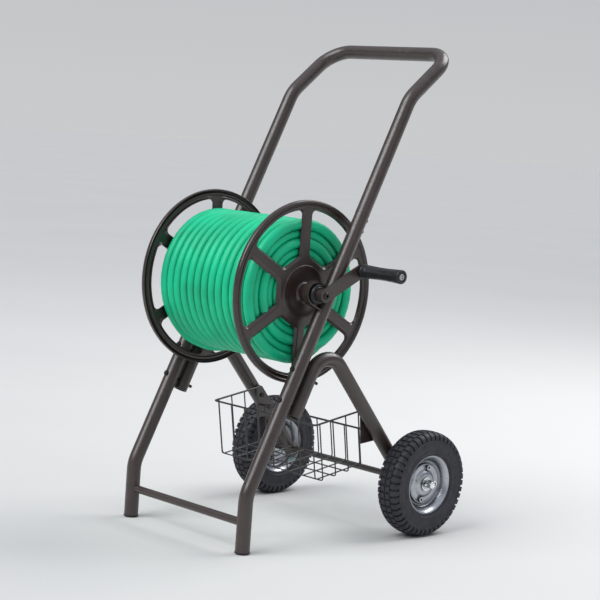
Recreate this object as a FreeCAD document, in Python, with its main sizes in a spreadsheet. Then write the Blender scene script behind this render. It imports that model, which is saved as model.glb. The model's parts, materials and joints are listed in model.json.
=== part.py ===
import FreeCAD, Part
import math
import os
import re

import Sketcher
from FreeCAD import Placement, Rotation, Vector

# A two-wheeled garden hose reel cart, in millimetres.  +Z is up, +X is the crank's side and +Y
# points from the front feet to the wheels.  The cart is laid out from a cart frame whose Y starts
# at the wheel axle and whose X starts midway between the wheels; centre_x and centre_y in the
# sheet then carry it to the middle of its own bounding box, with the ground at Z = 0.

SIZES = (
    ("centre_x", 26.5, "middle of the bounding box, from the middle of the track"),
    ("centre_y", -176.4, "middle of the bounding box, from the wheel axle"),
    ("tube_radius", 14, "frame tube, 28 mm outside"),
    ("tube_wall", 1.6, "frame tube wall"),
    ("thin_radius", 7.5, "foot crossbar"),
    ("side_x", 166.5, "centre plane of either side of the frame"),
    ("lean", 25.5, "lean of the side tubes from the vertical, degrees"),
    ("foot_y", -424, "centre of the front feet"),
    ("foot_bend_z", 108.7, "where the foot turns into the slope"),
    ("foot_bend_radius", 65, "bend radius there"),
    ("foot_cap_height", 4, "part of the plastic foot below the tube"),
    ("crossbar_z", 58, "height of the foot crossbar"),
    ("leg_seam", 223, "end of the front leg, along the slope from its bend"),
    ("handle_seam", 583, "end of the side tube, along the slope"),
    ("swage_length", 46, "swaged end pushed into the next tube"),
    ("swage_radius", 12.25, "outer radius of a swaged end"),
    ("handle_bend", 835, "handle's first bend, along the slope"),
    ("handle_bend_radius", 80, "radius of the first bend"),
    ("arm_lean", 50.5, "lean of the handle's arms from the vertical, degrees"),
    ("arm_length", 144, "from the first bend to the grip bar"),
    ("handle_corner_radius", 52, "bend between an arm and the grip bar"),
    ("hairpin_along", 333, "rear leg's corner, along the slope"),
    ("hairpin_behind", 34.5, "rear leg's short arm, behind the side tube"),
    ("hairpin_radius", 46, "bend radius of the rear leg"),
    ("short_arm_end", 172.5, "lower end of the short arm, along the slope"),
    ("leg_tail", 15, "rear leg beyond the wheel axle"),
    ("upper_bolt", 252, "bolt through side tube and rear leg, along the slope"),
    ("lower_bolt", 188.5, "bolt through front leg and rear leg, along the slope"),
    ("handle_bolt", 576, "upper of the two handle bolts, along the slope"),
    ("handle_bolt_gap", 23, "distance between the two handle bolts"),
    ("bolt_radius", 3, "M6 frame bolt"),
    ("bolt_end", 59, "end of a frame bolt, behind the side tube's centre"),
    ("head_radius", 5.2, "corner radius of a bolt head"),
    ("head_height", 3, "height of a bolt head"),
    ("insert_radius", 4.8, "flange of a threaded insert"),
    ("insert_height", 1.2, "flange of a threaded insert"),
    ("reel_y", -283.2, "reel axle"),
    ("reel_z", 482.3, "reel axle"),
    ("axle_radius", 10.65, "reel axle, half-inch water pipe"),
    ("axle_wall", 2.4, "wall of the water pipe"),
    ("running_fit", 0.08, "radial clearance of a bearing"),
    ("bush_radius", 19.1, "axle bush, outside"),
    ("bush_start", 152, "inner face of the bush"),
    ("bush_length", 26.5, "length of the bush"),
    ("bracket_radius", 23.5, "outside of the bearing bracket's round front"),
    ("bracket_lead", 4, "how far its centre lies in front of the axle"),
    ("bracket_reach", 22, "from the axle back to its ends"),
    ("bracket_sheet", 2.5, "its thickness"),
    ("bracket_width", 16, "its width along the axle"),
    ("flange_x", 134.5, "outer face of the flange's web"),
    ("flange_radius", 175, "outside of the flange"),
    ("flange_sheet", 1.6, "pressed sheet"),
    ("cup_radius", 50.5, "raised middle of the flange"),
    ("cup_height", 4, "how far the middle stands out"),
    ("window_inner", 66, "flat inner edge of a window"),
    ("window_outer", 156, "curved outer edge of a window"),
    ("spoke_width", 27, "width of a spoke"),
    ("window_corner", 9, "rounding of a window"),
    ("drum_radius", 48.3, "drum under the hose"),
    ("drum_length", 272, "drum between the flange cups"),
    ("hose_radius", 10, "hose, 20 mm outside (5/8 in bore)"),
    ("hose_width", 260, "thirteen turns side by side"),
    ("hose_layers", 5, "layers on the drum"),
    ("layer_pitch", 17.4, "radial step of a nested layer"),
    ("tail_lift", 23.7, "how far the hose's last stretch climbs off the winding"),
    ("tail_x", -100, "where that stretch lies"),
    ("coupling_radius", 13.2, "three-quarter garden hose thread"),
    ("coupling_length", 54, "male coupling with its ferrule"),
    ("outlet_x", 120, "water outlet inside the drum"),
    ("outlet_drop", 30, "outlet below the reel axle"),
    ("lead_y", 20, "where the hose leaves its inner coupling"),
    ("crank_x", 191.5, "inner face of the crank arm"),
    ("crank_sheet", 5, "thickness of the crank arm"),
    ("crank_width", 26, "width of the crank arm"),
    ("crank_length", 102.4, "reel axle to grip spindle"),
    ("crank_angle", 27, "crank above the horizontal, degrees"),
    ("crank_bolt_radius", 4, "M8 screw that holds the crank"),
    ("boss_radius", 12, "crank boss"),
    ("boss_length", 11.5, "crank boss"),
    ("spindle_radius", 5, "grip spindle"),
    ("grip_start", 197.5, "inner end of the grip"),
    ("grip_length", 103.5, "length of the grip"),
    ("grip_radius", 13.6, "grip at its ends"),
    ("grip_waist", 12, "grip at its waist"),
    ("wheel_x", 216.7, "middle of the tyre"),
    ("wheel_radius", 105.4, "outside of the tyre"),
    ("tyre_half", 26, "half width of the tyre"),
    ("rim_radius", 58.3, "outside of the rim"),
    ("rim_half", 21.8, "half width of the rim"),
    ("rim_sheet", 1.5, "pressed rim"),
    ("rod_radius", 6.35, "wheel axle, half-inch rod"),
    ("rod_half", 248, "half length of the wheel axle"),
    ("hub_half", 13.5, "half length of the wheel hub"),
    ("hub_radius", 10.5, "outside of the wheel hub"),
    ("washer_radius", 14, "wheel washers"),
    ("washer_sheet", 1.6, "wheel washers"),
    ("rim_bolt_circle", 31, "bolts that join the rim halves"),
    ("rim_bolt_angle", 76, "first of the two, degrees"),
    ("basket_y", -238, "front rim of the basket"),
    ("basket_z", 225.5, "front rim of the basket"),
    ("basket_tilt", 10, "basket's slope, down towards the front, degrees"),
    ("basket_half", 148.5, "half width of the basket"),
    ("basket_depth", 124, "front rim to rear rim"),
    ("basket_height", 112, "side rims to bottom"),
    ("rear_rim_drop", 39, "rear rim below the side rims"),
    ("rim_wire", 2, "radius of a rim wire"),
    ("thin_wire", 1.35, "radius of the other wires"),
    ("wire_gap", 39.2, "spacing of the front wires"),
    ("side_wire_gap", 35, "spacing of the side wires"),
    ("plate_x", 150.5, "inner face of a basket plate"),
    ("plate_sheet", 2, "basket plate"),
    ("plate_screw", 128, "lower basket screw, up the rear leg from the wheel axle"),
    ("plate_screw_gap", 35, "distance between the two screws"),
    ("pipe_end_x", 193, "inlet end of the reel axle"),
    ("swivel_x", 179.2, "inner end of the swivel inlet"),
    ("swivel_bore", 16, "depth of its bearing"),
    ("inlet_body", 20, "length of its hexagon"),
    ("inlet_thread", 14, "length of its thread"),
)

SIDES = (("left", -1), ("right", 1))
ALONG_X = Vector(1, 0, 0)
ALONG_Y = Vector(0, 1, 0)
ALONG_Z = Vector(0, 0, 1)

doc = FreeCAD.newDocument("HoseReelCart")
sheet = doc.addObject("Spreadsheet::Sheet", "Sizes")
nodes = []


# ---------------------------------------------------------------- sheet, sizes and places

def fill_sheet():
    """One row per driving dimension: its name, its value and what it is."""
    for row, (alias, value, note) in enumerate(SIZES, 1):
        sheet.set(f"A{row}", alias)
        sheet.set(f"B{row}", str(value))
        sheet.set(f"C{row}", note)
        sheet.setAlias(f"B{row}", alias)
    doc.recompute()


ALIASES = {alias for alias, _value, _note in SIZES}


def formula(text):
    """The expression as the document reads it, with every alias looked up in the sheet."""
    return re.sub(r"[a-z_]+", lambda word: f"Sizes.{word[0]}" if word[0] in ALIASES else word[0], text)


def size(text):
    return float(sheet.evalExpression(formula(text)))


def bind(obj, **properties):
    for name, text in properties.items():
        obj.setExpression(name, formula(text))


def place(obj, x="0", y="0", z="0", axis=ALONG_X, angle="0"):
    """Put an object at a point of the cart frame, turned about one axis."""
    x = f"{x} - centre_x"
    y = f"{y} - centre_y"
    obj.Placement = Placement(Vector(size(x), size(y), size(z)), Rotation(axis, size(angle)))
    for part, text in (("Base.x", x), ("Base.y", y), ("Base.z", z), ("Rotation.Angle", angle)):
        obj.setExpression(f".Placement.{part}", formula(text))
    return obj


def place_outward(obj, side, x, y="0", z="0"):
    """Stand a piece made along its own Z on one side of the cart, pointing away from the middle."""
    return place(obj, f"{side} * ({x})", y, z, ALONG_Y, f"{side} * 90")


def on_slope(along, behind="0"):
    """Y and Z of a point beside the leaning side tubes."""
    y = f"(foot_y + ({along}) * sin(lean) + ({behind}) * cos(lean))"
    z = f"(foot_bend_z + ({along}) * cos(lean) - ({behind}) * sin(lean))"
    return y, z


def in_basket(back, up):
    """Y and Z of a point of the tilted basket, from the middle of its front rim."""
    y = f"(basket_y + ({back}) * cos(basket_tilt) - ({up}) * sin(basket_tilt))"
    z = f"(basket_z + ({back}) * sin(basket_tilt) + ({up}) * cos(basket_tilt))"
    return y, z


def node(obj, label):
    """Mark an object as a finished sub-part and name it."""
    obj.Label = label
    nodes.append(obj)
    return obj


# ---------------------------------------------------------------- sketches and features

def new_body(name):
    return doc.addObject("PartDesign::Body", name)


def new_sketch(body, role):
    """An empty sketch on one of the body's own planes."""
    sketch = body.newObject("Sketcher::SketchObject", f"{body.Name}_sketch")
    plane = next(item for item in body.Origin.OriginFeatures if item.Role == role)
    sketch.AttachmentSupport = [(plane, "")]
    sketch.MapMode = "FlatFace"
    return sketch


def hold_point(sketch, geometry, end, across, up):
    """Tie one point of the sketch to sizes measured from the sketch's origin."""
    for kind, text in (("DistanceX", across), ("DistanceY", up)):
        index = sketch.addConstraint(Sketcher.Constraint(kind, -1, 1, geometry, end, size(text)))
        sketch.setExpression(f"Constraints[{index}]", formula(text))


def add_circle(sketch, radius, across="0", up="0"):
    centre = Vector(size(across), size(up), 0)
    index = sketch.addGeometry(Part.Circle(centre, ALONG_Z, size(radius)), False)
    hold_point(sketch, index, 3, across, up)
    limit = sketch.addConstraint(Sketcher.Constraint("Radius", index, size(radius)))
    sketch.setExpression(f"Constraints[{limit}]", formula(radius))


def add_outline(sketch, points):
    """A closed outline of straight lines through points given as pairs of sizes."""
    places = [Vector(size(across), size(up), 0) for across, up in points]
    lines = [sketch.addGeometry(Part.LineSegment(start, end), False)
             for start, end in zip(places, places[1:] + places[:1])]
    for line, following in zip(lines, lines[1:] + lines[:1]):
        sketch.addConstraint(Sketcher.Constraint("Coincident", line, 2, following, 1))
    for line, (across, up) in zip(lines, points):
        hold_point(sketch, line, 1, across, up)


def add_bent_line(sketch, corners, radii):
    """An open line through corners, each rounded by a tangent arc."""
    points = [Vector(size(across), size(up), 0) for across, up in corners]
    legs = [end - start for start, end in zip(points, points[1:])]
    trims = [size(radius) * math.tan(leg.getAngle(following) / 2)
             for radius, leg, following in zip(radii, legs, legs[1:])]
    lines = []
    for start, leg, cut, next_cut in zip(points, legs, [0] + trims, trims + [0]):
        unit = leg / leg.Length
        straight = Part.LineSegment(start + unit * cut, start + leg - unit * next_cut)
        lines.append(sketch.addGeometry(straight, False))
    hold_point(sketch, lines[0], 1, *corners[0])
    hold_point(sketch, lines[-1], 2, *corners[-1])
    for place_in_row, radius in enumerate(radii):
        before, after = lines[place_in_row], lines[place_in_row + 1]
        leg, following = legs[place_in_row], legs[place_in_row + 1]
        turn = 1 if leg.cross(following).z > 0 else -1
        start = sketch.Geometry[before].EndPoint
        centre = start + Vector(-leg.y, leg.x, 0) / leg.Length * size(radius) * turn
        heading = math.atan2(start.y - centre.y, start.x - centre.x)
        swing = leg.getAngle(following) * turn
        angles = sorted((heading, heading + swing))
        circle = Part.Circle(centre, ALONG_Z, size(radius))
        arc = sketch.addGeometry(Part.ArcOfCircle(circle, *angles), False)
        first, last = (1, 2) if turn > 0 else (2, 1)
        sketch.addConstraint(Sketcher.Constraint("Tangent", before, 2, arc, first))
        sketch.addConstraint(Sketcher.Constraint("Tangent", after, 1, arc, last))
        limit = sketch.addConstraint(Sketcher.Constraint("Radius", arc, size(radius)))
        sketch.setExpression(f"Constraints[{limit}]", formula(radius))
        corner = sketch.addGeometry(Part.Point(points[place_in_row + 1]), True)
        hold_point(sketch, corner, 1, *corners[place_in_row + 1])
        sketch.addConstraint(Sketcher.Constraint("PointOnObject", corner, 1, before))
        sketch.addConstraint(Sketcher.Constraint("PointOnObject", corner, 1, after))


def pad(body, sketch, length, both_ways=False):
    feature = body.newObject("PartDesign::Pad", f"{body.Name}_pad")
    feature.Profile = sketch
    feature.Midplane = both_ways
    bind(feature, Length=length)
    return feature


def bent_tube(name, x, corners, radii, outer="tube_radius", inner="tube_radius - tube_wall"):
    """A tube bent in one upright plane, with its corners in the cart frame."""
    body = new_body(name)
    path = new_sketch(body, "YZ_Plane")
    add_bent_line(path, corners, radii)
    section = body.newObject("Sketcher::SketchObject", f"{name}_section")
    section.AttachmentSupport = [(path, "Edge1")]
    section.MapMode = "NormalToEdge"
    add_circle(section, outer)
    if inner:
        add_circle(section, inner)
    pipe = body.newObject("PartDesign::AdditivePipe", f"{name}_pipe")
    pipe.Profile = section
    pipe.Spine = path
    return place(body, x)


def padded_rings(name, rings):
    """Discs or rings stacked along Z: start, length, outer radius and, if hollow, the bore."""
    body = new_body(name)
    for start, length, outer, bore in rings:
        sketch = new_sketch(body, "XY_Plane")
        sketch.setExpression(".AttachmentOffset.Base.z", formula(start))
        add_circle(sketch, outer)
        if bore:
            add_circle(sketch, bore)
        pad(body, sketch, length)
    return body


def turned(name, outline):
    """A body turned about its Z axis from pairs of radius and height."""
    body = new_body(name)
    sketch = new_sketch(body, "XZ_Plane")
    add_outline(sketch, outline)
    turn = body.newObject("PartDesign::Revolution", f"{name}_turn")
    turn.Profile = sketch
    turn.ReferenceAxis = (sketch, ["V_Axis"])
    turn.Angle = 360
    return body


def plate(name, outline, thickness, holes=(), both_ways=False):
    """A flat plate across X, outlined in Y and Z, with round holes given as radius, Y and Z."""
    body = new_body(name)
    sketch = new_sketch(body, "YZ_Plane")
    add_outline(sketch, outline)
    for hole in holes:
        add_circle(sketch, *hole)
    pad(body, sketch, thickness, both_ways)
    return body


# ---------------------------------------------------------------- simple solids and joins

def rod(name, radius, length, axis=ALONG_X, angle="0", **where):
    cylinder = doc.addObject("Part::Cylinder", name)
    bind(cylinder, Radius=radius, Height=length)
    return place(cylinder, axis=axis, angle=angle, **where)


def hexagon(name, radius, length, axis=ALONG_X, angle="0", **where):
    prism = doc.addObject("Part::Prism", name)
    prism.Polygon = 6
    bind(prism, Circumradius=radius, Height=length)
    return place(prism, axis=axis, angle=angle, **where)


def fuse(name, shapes):
    joined = doc.addObject("Part::MultiFuse", name)
    joined.Shapes = shapes
    return joined


def group(name, shapes):
    """Separate solids that share one node, such as a set of equal bolts."""
    bundle = doc.addObject("Part::Compound", name)
    bundle.Links = shapes
    return bundle


def cut(name, base, tools):
    result = doc.addObject("Part::Cut", name)
    result.Base = base
    result.Tool = tools[0] if len(tools) == 1 else fuse(f"{name}_tools", tools)
    return result


# ---------------------------------------------------------------- frame

BACKWARD = "-90 - lean"          # turns a Z axis to point behind the side tubes
UP_SLOPE = "-lean"               # turns a Z axis to run up the side tubes


def slope_rod(name, side, radius, length, along, behind="0"):
    """A rod square to the side tubes, pointing backward, such as a bolt or its hole."""
    y, z = on_slope(along, behind)
    return rod(name, radius, length, angle=BACKWARD, x=f"{side} * side_x", y=y, z=z)


def bolt_rows():
    """Places along the slope of the bolts that join the side tube, front leg and rear leg."""
    return ("upper_bolt", "lower_bolt")


def handle_bolt_rows():
    """Places along the slope of the screws that hold the handle."""
    return ("handle_bolt", "handle_bolt - handle_bolt_gap")


def make_front_leg(name, side):
    foot = ("foot_y", "foot_cap_height")
    bend = ("foot_y", "foot_bend_z")
    leg = bent_tube(f"{name}_front_leg_tube", f"{side} * side_x", (foot, bend, on_slope("leg_seam")),
                    ("foot_bend_radius",))
    hole = slope_rod(f"{name}_front_leg_hole", side, "bolt_radius", "tube_radius * 4", "lower_bolt",
                     "-tube_radius * 2")
    node(cut(f"{name}_front_leg_cut", leg, [hole]), f"{name}_front_leg")


def make_foot_cap(name, side):
    cap = turned(f"{name}_cap", (
        ("0", "0"), ("tube_radius - 2", "0"), ("tube_radius + 0.8", "2"),
        ("tube_radius + 0.8", "foot_cap_height"), ("tube_radius - tube_wall - 0.1", "foot_cap_height"),
        ("tube_radius - tube_wall - 0.6", "18"), ("0", "18")))
    place(cap, f"{side} * side_x", "foot_y")
    node(cap, f"{name}_foot_cap")


def make_foot_crossbar():
    bar = padded_rings("crossbar", (("0", "2 * side_x", "thin_radius", "thin_radius - tube_wall"),))
    place(bar, "-side_x", "foot_y", "crossbar_z", ALONG_Y, "90")
    legs = [rod(f"{name}_cope", "tube_radius", "2 * crossbar_z", x=f"{side} * side_x", y="foot_y")
            for name, side in SIDES]
    node(cut("crossbar_coped", bar, legs), "foot_crossbar")


def make_side_tube(name, side):
    """Straight tube between the two seams; its swaged lower end slides into the front leg."""
    bore = "swage_radius - tube_wall"
    tube = turned(f"{name}_side", (
        (bore, "-swage_length"), ("swage_radius", "-swage_length"), ("swage_radius", "0"),
        ("tube_radius", "0"), ("tube_radius", "handle_seam - leg_seam"),
        ("tube_radius - tube_wall", "handle_seam - leg_seam"), ("tube_radius - tube_wall", "8"),
        (bore, "2")))
    y, z = on_slope("leg_seam")
    place(tube, f"{side} * side_x", y, z, angle=UP_SLOPE)
    holes = [slope_rod(f"{name}_side_hole_{row}", side, "bolt_radius", "tube_radius * 4", along,
                       "-tube_radius * 2")
             for row, along in enumerate(bolt_rows())]
    holes += [slope_rod(f"{name}_screw_hole_{row}", side, "bolt_radius", "tube_radius * 2", along)
              for row, along in enumerate(handle_bolt_rows())]
    node(cut(f"{name}_side_cut", tube, holes), f"{name}_side_tube")


def make_handle():
    """One U-shaped tube: two bends at each side and a swaged end in either side tube."""
    def at(side, along=None, arm=0.0):
        y, z = (size(text) for text in on_slope(along or "handle_bend"))
        lean = math.radians(size("arm_lean"))
        return Vector(side * size("side_x"), y + arm * math.sin(lean), z + arm * math.cos(lean))

    def pipe(points, radii, radius):
        spine = rounded_wire(points, radii)
        start = points[0]
        disc = Part.Circle(start, points[1] - start, radius).toShape()
        return spine.makePipeShell([Part.Wire(disc)], True, True)

    arm = size("arm_length")
    radii = [size("handle_bend_radius"), size("handle_corner_radius")]
    route = [at(-1, "handle_seam"), at(-1), at(-1, arm=arm), at(1, arm=arm), at(1), at(1, "handle_seam")]
    bore_route = [at(-1, "handle_seam + 3"), *route[1:-1], at(1, "handle_seam + 3")]
    outer = pipe(route, radii + radii[::-1], size("tube_radius"))
    inner = pipe(bore_route, radii + radii[::-1], size("tube_radius - tube_wall"))
    tube = outer.cut(inner)
    slope = (route[1] - route[0]).normalize()
    for seam in (route[0], route[-1]):
        foot = seam - slope * size("swage_length")
        swage = Part.makeCylinder(size("swage_radius"), size("swage_length") + 1, foot, slope)
        bore = Part.makeCylinder(size("swage_radius - tube_wall"), size("swage_length") + 4,
                                 foot, slope)
        tube = tube.fuse(swage).cut(bore)
    backward = Vector(0, math.cos(math.radians(size("lean"))), -math.sin(math.radians(size("lean"))))
    for side in (-1, 1):
        for along in handle_bolt_rows():
            tube = tube.cut(Part.makeCylinder(size("bolt_radius"), 20, at(side, along), backward))
    handle = doc.addObject("Part::Feature", "handle")
    handle.Shape = tube.removeSplitter()
    place(handle)
    node(handle, "handle_tube")


def rounded_wire(points, radii):
    """A wire through points in space, with a tangent arc at every inner corner."""
    edges = []
    last = points[0]
    for before, corner, after, radius in zip(points, points[1:], points[2:], radii):
        back = (before - corner).normalize()
        on = (after - corner).normalize()
        half = back.getAngle(on) / 2
        trim = radius / math.tan(half)
        start, end = corner + back * trim, corner + on * trim
        middle_way = (back + on).normalize()
        middle = corner + middle_way * (radius / math.sin(half) - radius)
        edges.append(Part.LineSegment(last, start).toShape())
        edges.append(Part.Arc(start, middle, end).toShape())
        last = end
    edges.append(Part.LineSegment(last, points[-1]).toShape())
    return Part.Wire(edges)


def rear_leg_corner():
    return on_slope("hairpin_along", "hairpin_behind")


def leg_line(distance):
    """Y and Z of a point on the rear leg's long arm, measured up from the wheel axle."""
    y, z = rear_leg_corner()
    length = f"sqrt({y} * {y} + ({z} - wheel_radius) * ({z} - wheel_radius))"
    along = f"({distance}) / {length}"
    return f"({y} * {along})", f"(wheel_radius + ({z} - wheel_radius) * {along})"


def make_rear_leg(name, side):
    """Hairpin tube: a short arm bolted behind the side tube and a long arm down to the wheel axle."""
    corners = (on_slope("short_arm_end", "hairpin_behind"), rear_leg_corner(), leg_line("-leg_tail"))
    leg = bent_tube(f"{name}_rear_leg_tube", f"{side} * side_x", corners, ("hairpin_radius",))
    holes = [slope_rod(f"{name}_rear_leg_hole_{row}", side, "bolt_radius", "tube_radius * 4", along,
                       "hairpin_behind - tube_radius * 2")
             for row, along in enumerate(bolt_rows())]
    holes.append(rod(f"{name}_rear_leg_axle_hole", "rod_radius", "tube_radius * 4", ALONG_Y, "90",
                     x=f"{side} * side_x - tube_radius * 2", z="wheel_radius"))
    for row, distance in enumerate(plate_screw_places()):
        y, z = leg_line(distance)
        holes.append(rod(f"{name}_plate_hole_{row}", "2.4", "tube_radius", ALONG_Y, f"{side} * 90",
                         x=f"{side} * (side_x - tube_radius - 2)", y=y, z=z))
    node(cut(f"{name}_rear_leg_cut", leg, holes), f"{name}_rear_leg")


def make_frame_bolts():
    """M6 bolts from the front into inserts in the rear legs; short screws from behind hold the handle."""
    bolts, inserts = [], []
    leg_back = "hairpin_behind + tube_radius"
    for name, side in SIDES:
        for row, along in enumerate(bolt_rows()):
            y, z = on_slope(along, "-tube_radius - head_height")
            head = hexagon(f"{name}_head_{row}", "head_radius", "head_height", angle=BACKWARD,
                           x=f"{side} * side_x", y=y, z=z)
            shank = slope_rod(f"{name}_shank_{row}", side, "bolt_radius", "tube_radius + bolt_end",
                              along, "-tube_radius")
            bolts.append(fuse(f"{name}_bolt_{row}", [head, shank]))
            flange = slope_rod(f"{name}_insert_{row}", side, "insert_radius", "insert_height", along,
                               leg_back)
            thread = slope_rod(f"{name}_insert_hole_{row}", side, "bolt_radius", "insert_height * 3",
                               along, f"{leg_back} - insert_height")
            inserts.append(cut(f"{name}_insert_cut_{row}", flange, [thread]))
        for row, along in enumerate(handle_bolt_rows()):
            y, z = on_slope(along, "tube_radius")
            head = hexagon(f"{name}_handle_head_{row}", "head_radius", "head_height", angle=BACKWARD,
                           x=f"{side} * side_x", y=y, z=z)
            shank = slope_rod(f"{name}_handle_shank_{row}", side, "bolt_radius", "tube_radius", along)
            bolts.append(fuse(f"{name}_handle_screw_{row}", [head, shank]))
    node(group("bolts", bolts), "frame_bolts")
    node(group("inserts", inserts), "frame_inserts")


# ---------------------------------------------------------------- bearings

def make_bearing_bracket(name, side):
    """A U-shaped strap welded to the front of the side tube, round the axle bush."""
    outer = strap_outline(f"{name}_strap_outer", side, "bracket_radius", "bracket_width")
    inner = strap_outline(f"{name}_strap_inner", side, "bracket_radius - bracket_sheet",
                          "bracket_width + 2")
    y, z = on_slope("leg_seam")
    tube = rod(f"{name}_strap_cope", "tube_radius", "handle_seam - leg_seam", angle=UP_SLOPE,
               x=f"{side} * side_x", y=y, z=z)
    node(cut(f"{name}_bracket", outer, [inner, tube]), f"{name}_bearing_bracket")


def strap_outline(name, side, radius, width):
    """A round front and a block behind it that reaches back to the side tube."""
    front_y = "reel_y - bracket_lead * cos(lean)"
    front_z = "reel_z + bracket_lead * sin(lean)"
    front = rod(f"{name}_front", radius, width, ALONG_Y, "90",
                x=f"{side} * side_x - ({width}) / 2", y=front_y, z=front_z)
    block = doc.addObject("Part::Box", f"{name}_block")
    bind(block, Length=width, Width="bracket_lead + bracket_reach", Height=f"2 * ({radius})")
    place(block, f"{side} * side_x - ({width}) / 2", f"{front_y} - ({radius}) * sin(lean)",
          f"{front_z} - ({radius}) * cos(lean)", angle="-lean")
    return fuse(name, [front, block])


def make_axle_bush(name, side):
    bush = turned(f"{name}_bush", (
        ("axle_radius + running_fit", "0"), ("16", "0"), ("16", "5"), ("bush_radius", "6"),
        ("bush_radius", "bush_length - 4"), ("17.5", "bush_length - 1"), ("15", "bush_length - 1"),
        ("14", "bush_length"), ("axle_radius + running_fit", "bush_length")))
    place_outward(bush, side, "bush_start", "reel_y", "reel_z")
    node(bush, f"{name}_axle_bush")


# ---------------------------------------------------------------- reel

def make_flange(name, side):
    """Pressed wheel of sheet steel: raised cup in the middle, six windows and a rolled, ribbed rim."""
    s = "flange_sheet"
    r = "flange_radius"
    body = turned(f"{name}_flange_web", (
        ("axle_radius", "cup_height"), ("cup_radius - 1.5", "cup_height"), ("cup_radius + 1", "0"),
        (f"{r} - 17", "0"), (f"{r} - 15", "3"), (f"{r} - 11", "3"), (f"{r} - 9", "0.5"),
        (f"{r} - 6", "0.5"), (f"{r} - 4", "4"), (f"{r} - 1", "4"), (r, "3"), (r, "-5"),
        (f"{r} - {s}", "-5"), (f"{r} - {s}", "2.4"), (f"{r} - 3.4", "2.4"), (f"{r} - 5.2", f"0.5 - {s}"),
        (f"{r} - 9.8", f"0.5 - {s}"), (f"{r} - 11.8", f"3 - {s}"), (f"{r} - 14.2", f"3 - {s}"),
        (f"{r} - 16.2", f"-{s}"), ("cup_radius", f"-{s}"), ("cup_radius - 2", f"cup_height - {s}"),
        ("axle_radius", f"cup_height - {s}")))
    cut_windows(body)
    place_outward(body, side, "flange_x", "reel_y", "reel_z")
    node(body, f"{name}_flange")


def cut_windows(body):
    """Six windows with a flat inner edge, sides along the spokes and a curved outer edge."""
    half_spoke = "(spoke_width / 2)"
    reach = f"sqrt(window_outer * window_outer - {half_spoke} * {half_spoke})"
    tip_y = f"{reach} * sin(30) - {half_spoke} * cos(30)"
    inner_y = "(window_inner - spoke_width) / sqrt(3)"
    outer = size("window_outer")
    bow = math.asin(size(tip_y) / outer)
    low_tip, high_tip = (Vector(outer * math.cos(turn), outer * math.sin(turn), 0) for turn in (-bow, bow))
    low_inner, high_inner = (Vector(size("window_inner"), way * size(inner_y), 0) for way in (-1, 1))
    sketch = new_sketch(body, "XY_Plane")
    sketch.AttachmentOffset = Placement(Vector(), Rotation(ALONG_Z, 30))
    low = sketch.addGeometry(Part.LineSegment(low_inner, low_tip), False)
    arc = sketch.addGeometry(Part.ArcOfCircle(Part.Circle(Vector(), ALONG_Z, outer), -bow, bow), False)
    high = sketch.addGeometry(Part.LineSegment(high_tip, high_inner), False)
    flat = sketch.addGeometry(Part.LineSegment(high_inner, low_inner), False)
    for join in ((low, 2, arc, 1), (arc, 2, high, 1), (high, 2, flat, 1), (flat, 2, low, 1),
                 (arc, 3, -1, 1)):
        sketch.addConstraint(Sketcher.Constraint("Coincident", *join))
    hold_point(sketch, flat, 1, "window_inner", inner_y)
    hold_point(sketch, flat, 2, "window_inner", f"-{inner_y}")
    for kind, where, text in (("Radius", (arc,), "window_outer"),
                              ("DistanceY", (-1, 1, arc, 2), tip_y),
                              ("DistanceY", (-1, 1, arc, 1), f"-({tip_y})")):
        index = sketch.addConstraint(Sketcher.Constraint(kind, *where, size(text)))
        sketch.setExpression(f"Constraints[{index}]", formula(text))
    pocket = body.newObject("PartDesign::Pocket", f"{body.Name}_window")
    pocket.Profile = sketch
    pocket.Type = "ThroughAll"
    pocket.Midplane = True
    ring = body.newObject("PartDesign::PolarPattern", f"{body.Name}_windows")
    ring.Originals = [pocket]
    ring.Axis = (sketch, ["N_Axis"])
    ring.Angle = 360
    ring.Occurrences = 6
    body.Tip = ring
    doc.recompute()
    corners = [f"Edge{number}" for number, edge in enumerate(ring.Shape.Edges, 1)
               if is_window_corner(edge)]
    rounding = body.newObject("PartDesign::Fillet", f"{body.Name}_corners")
    rounding.Base = (ring, corners)
    bind(rounding, Radius="window_corner")


def is_window_corner(edge):
    """True for the short upright edges where two sides of a window meet."""
    if len(edge.Vertexes) != 2:
        return False
    low, high = (vertex.Point for vertex in edge.Vertexes)
    upright = abs(abs(low.z - high.z) - size("flange_sheet")) < 0.01
    return upright and math.hypot(low.x - high.x, low.y - high.y) < 0.01


def make_drum():
    """Rolled sheet drum between the flange cups, with a slot where the hose comes out."""
    start = "-drum_length / 2"
    drum = padded_rings("drum_sheet",
                        (("0", "drum_length", "drum_radius", "drum_radius - flange_sheet"),))
    place(drum, start, "reel_y", "reel_z", ALONG_Y, "90")
    slot = doc.addObject("Part::Box", "drum_slot")
    bind(slot, Length="2 * hose_radius + 3", Width="drum_radius + 12", Height="drum_radius + 40")
    place(slot, "outlet_x - hose_radius - 1.5", "reel_y + 4", "reel_z - drum_radius - 10")
    node(cut("drum_cut", drum, [slot]), "drum")


def make_reel_axle():
    """Water pipe through both flanges, open at the inlet end, with a side hole for the outlet."""
    pipe = padded_rings("reel_pipe", (("0", "crank_x - 2 + pipe_end_x", "axle_radius",
                                       "axle_radius - axle_wall"),))
    place(pipe, "-pipe_end_x", "reel_y", "reel_z", ALONG_Y, "90")
    outlet = rod("reel_pipe_outlet", "6.9", "axle_radius + 2", ALONG_X, "180",
                 x="outlet_x", y="reel_y", z="reel_z")
    node(cut("reel_pipe_cut", pipe, [outlet]), "reel_axle")


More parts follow.
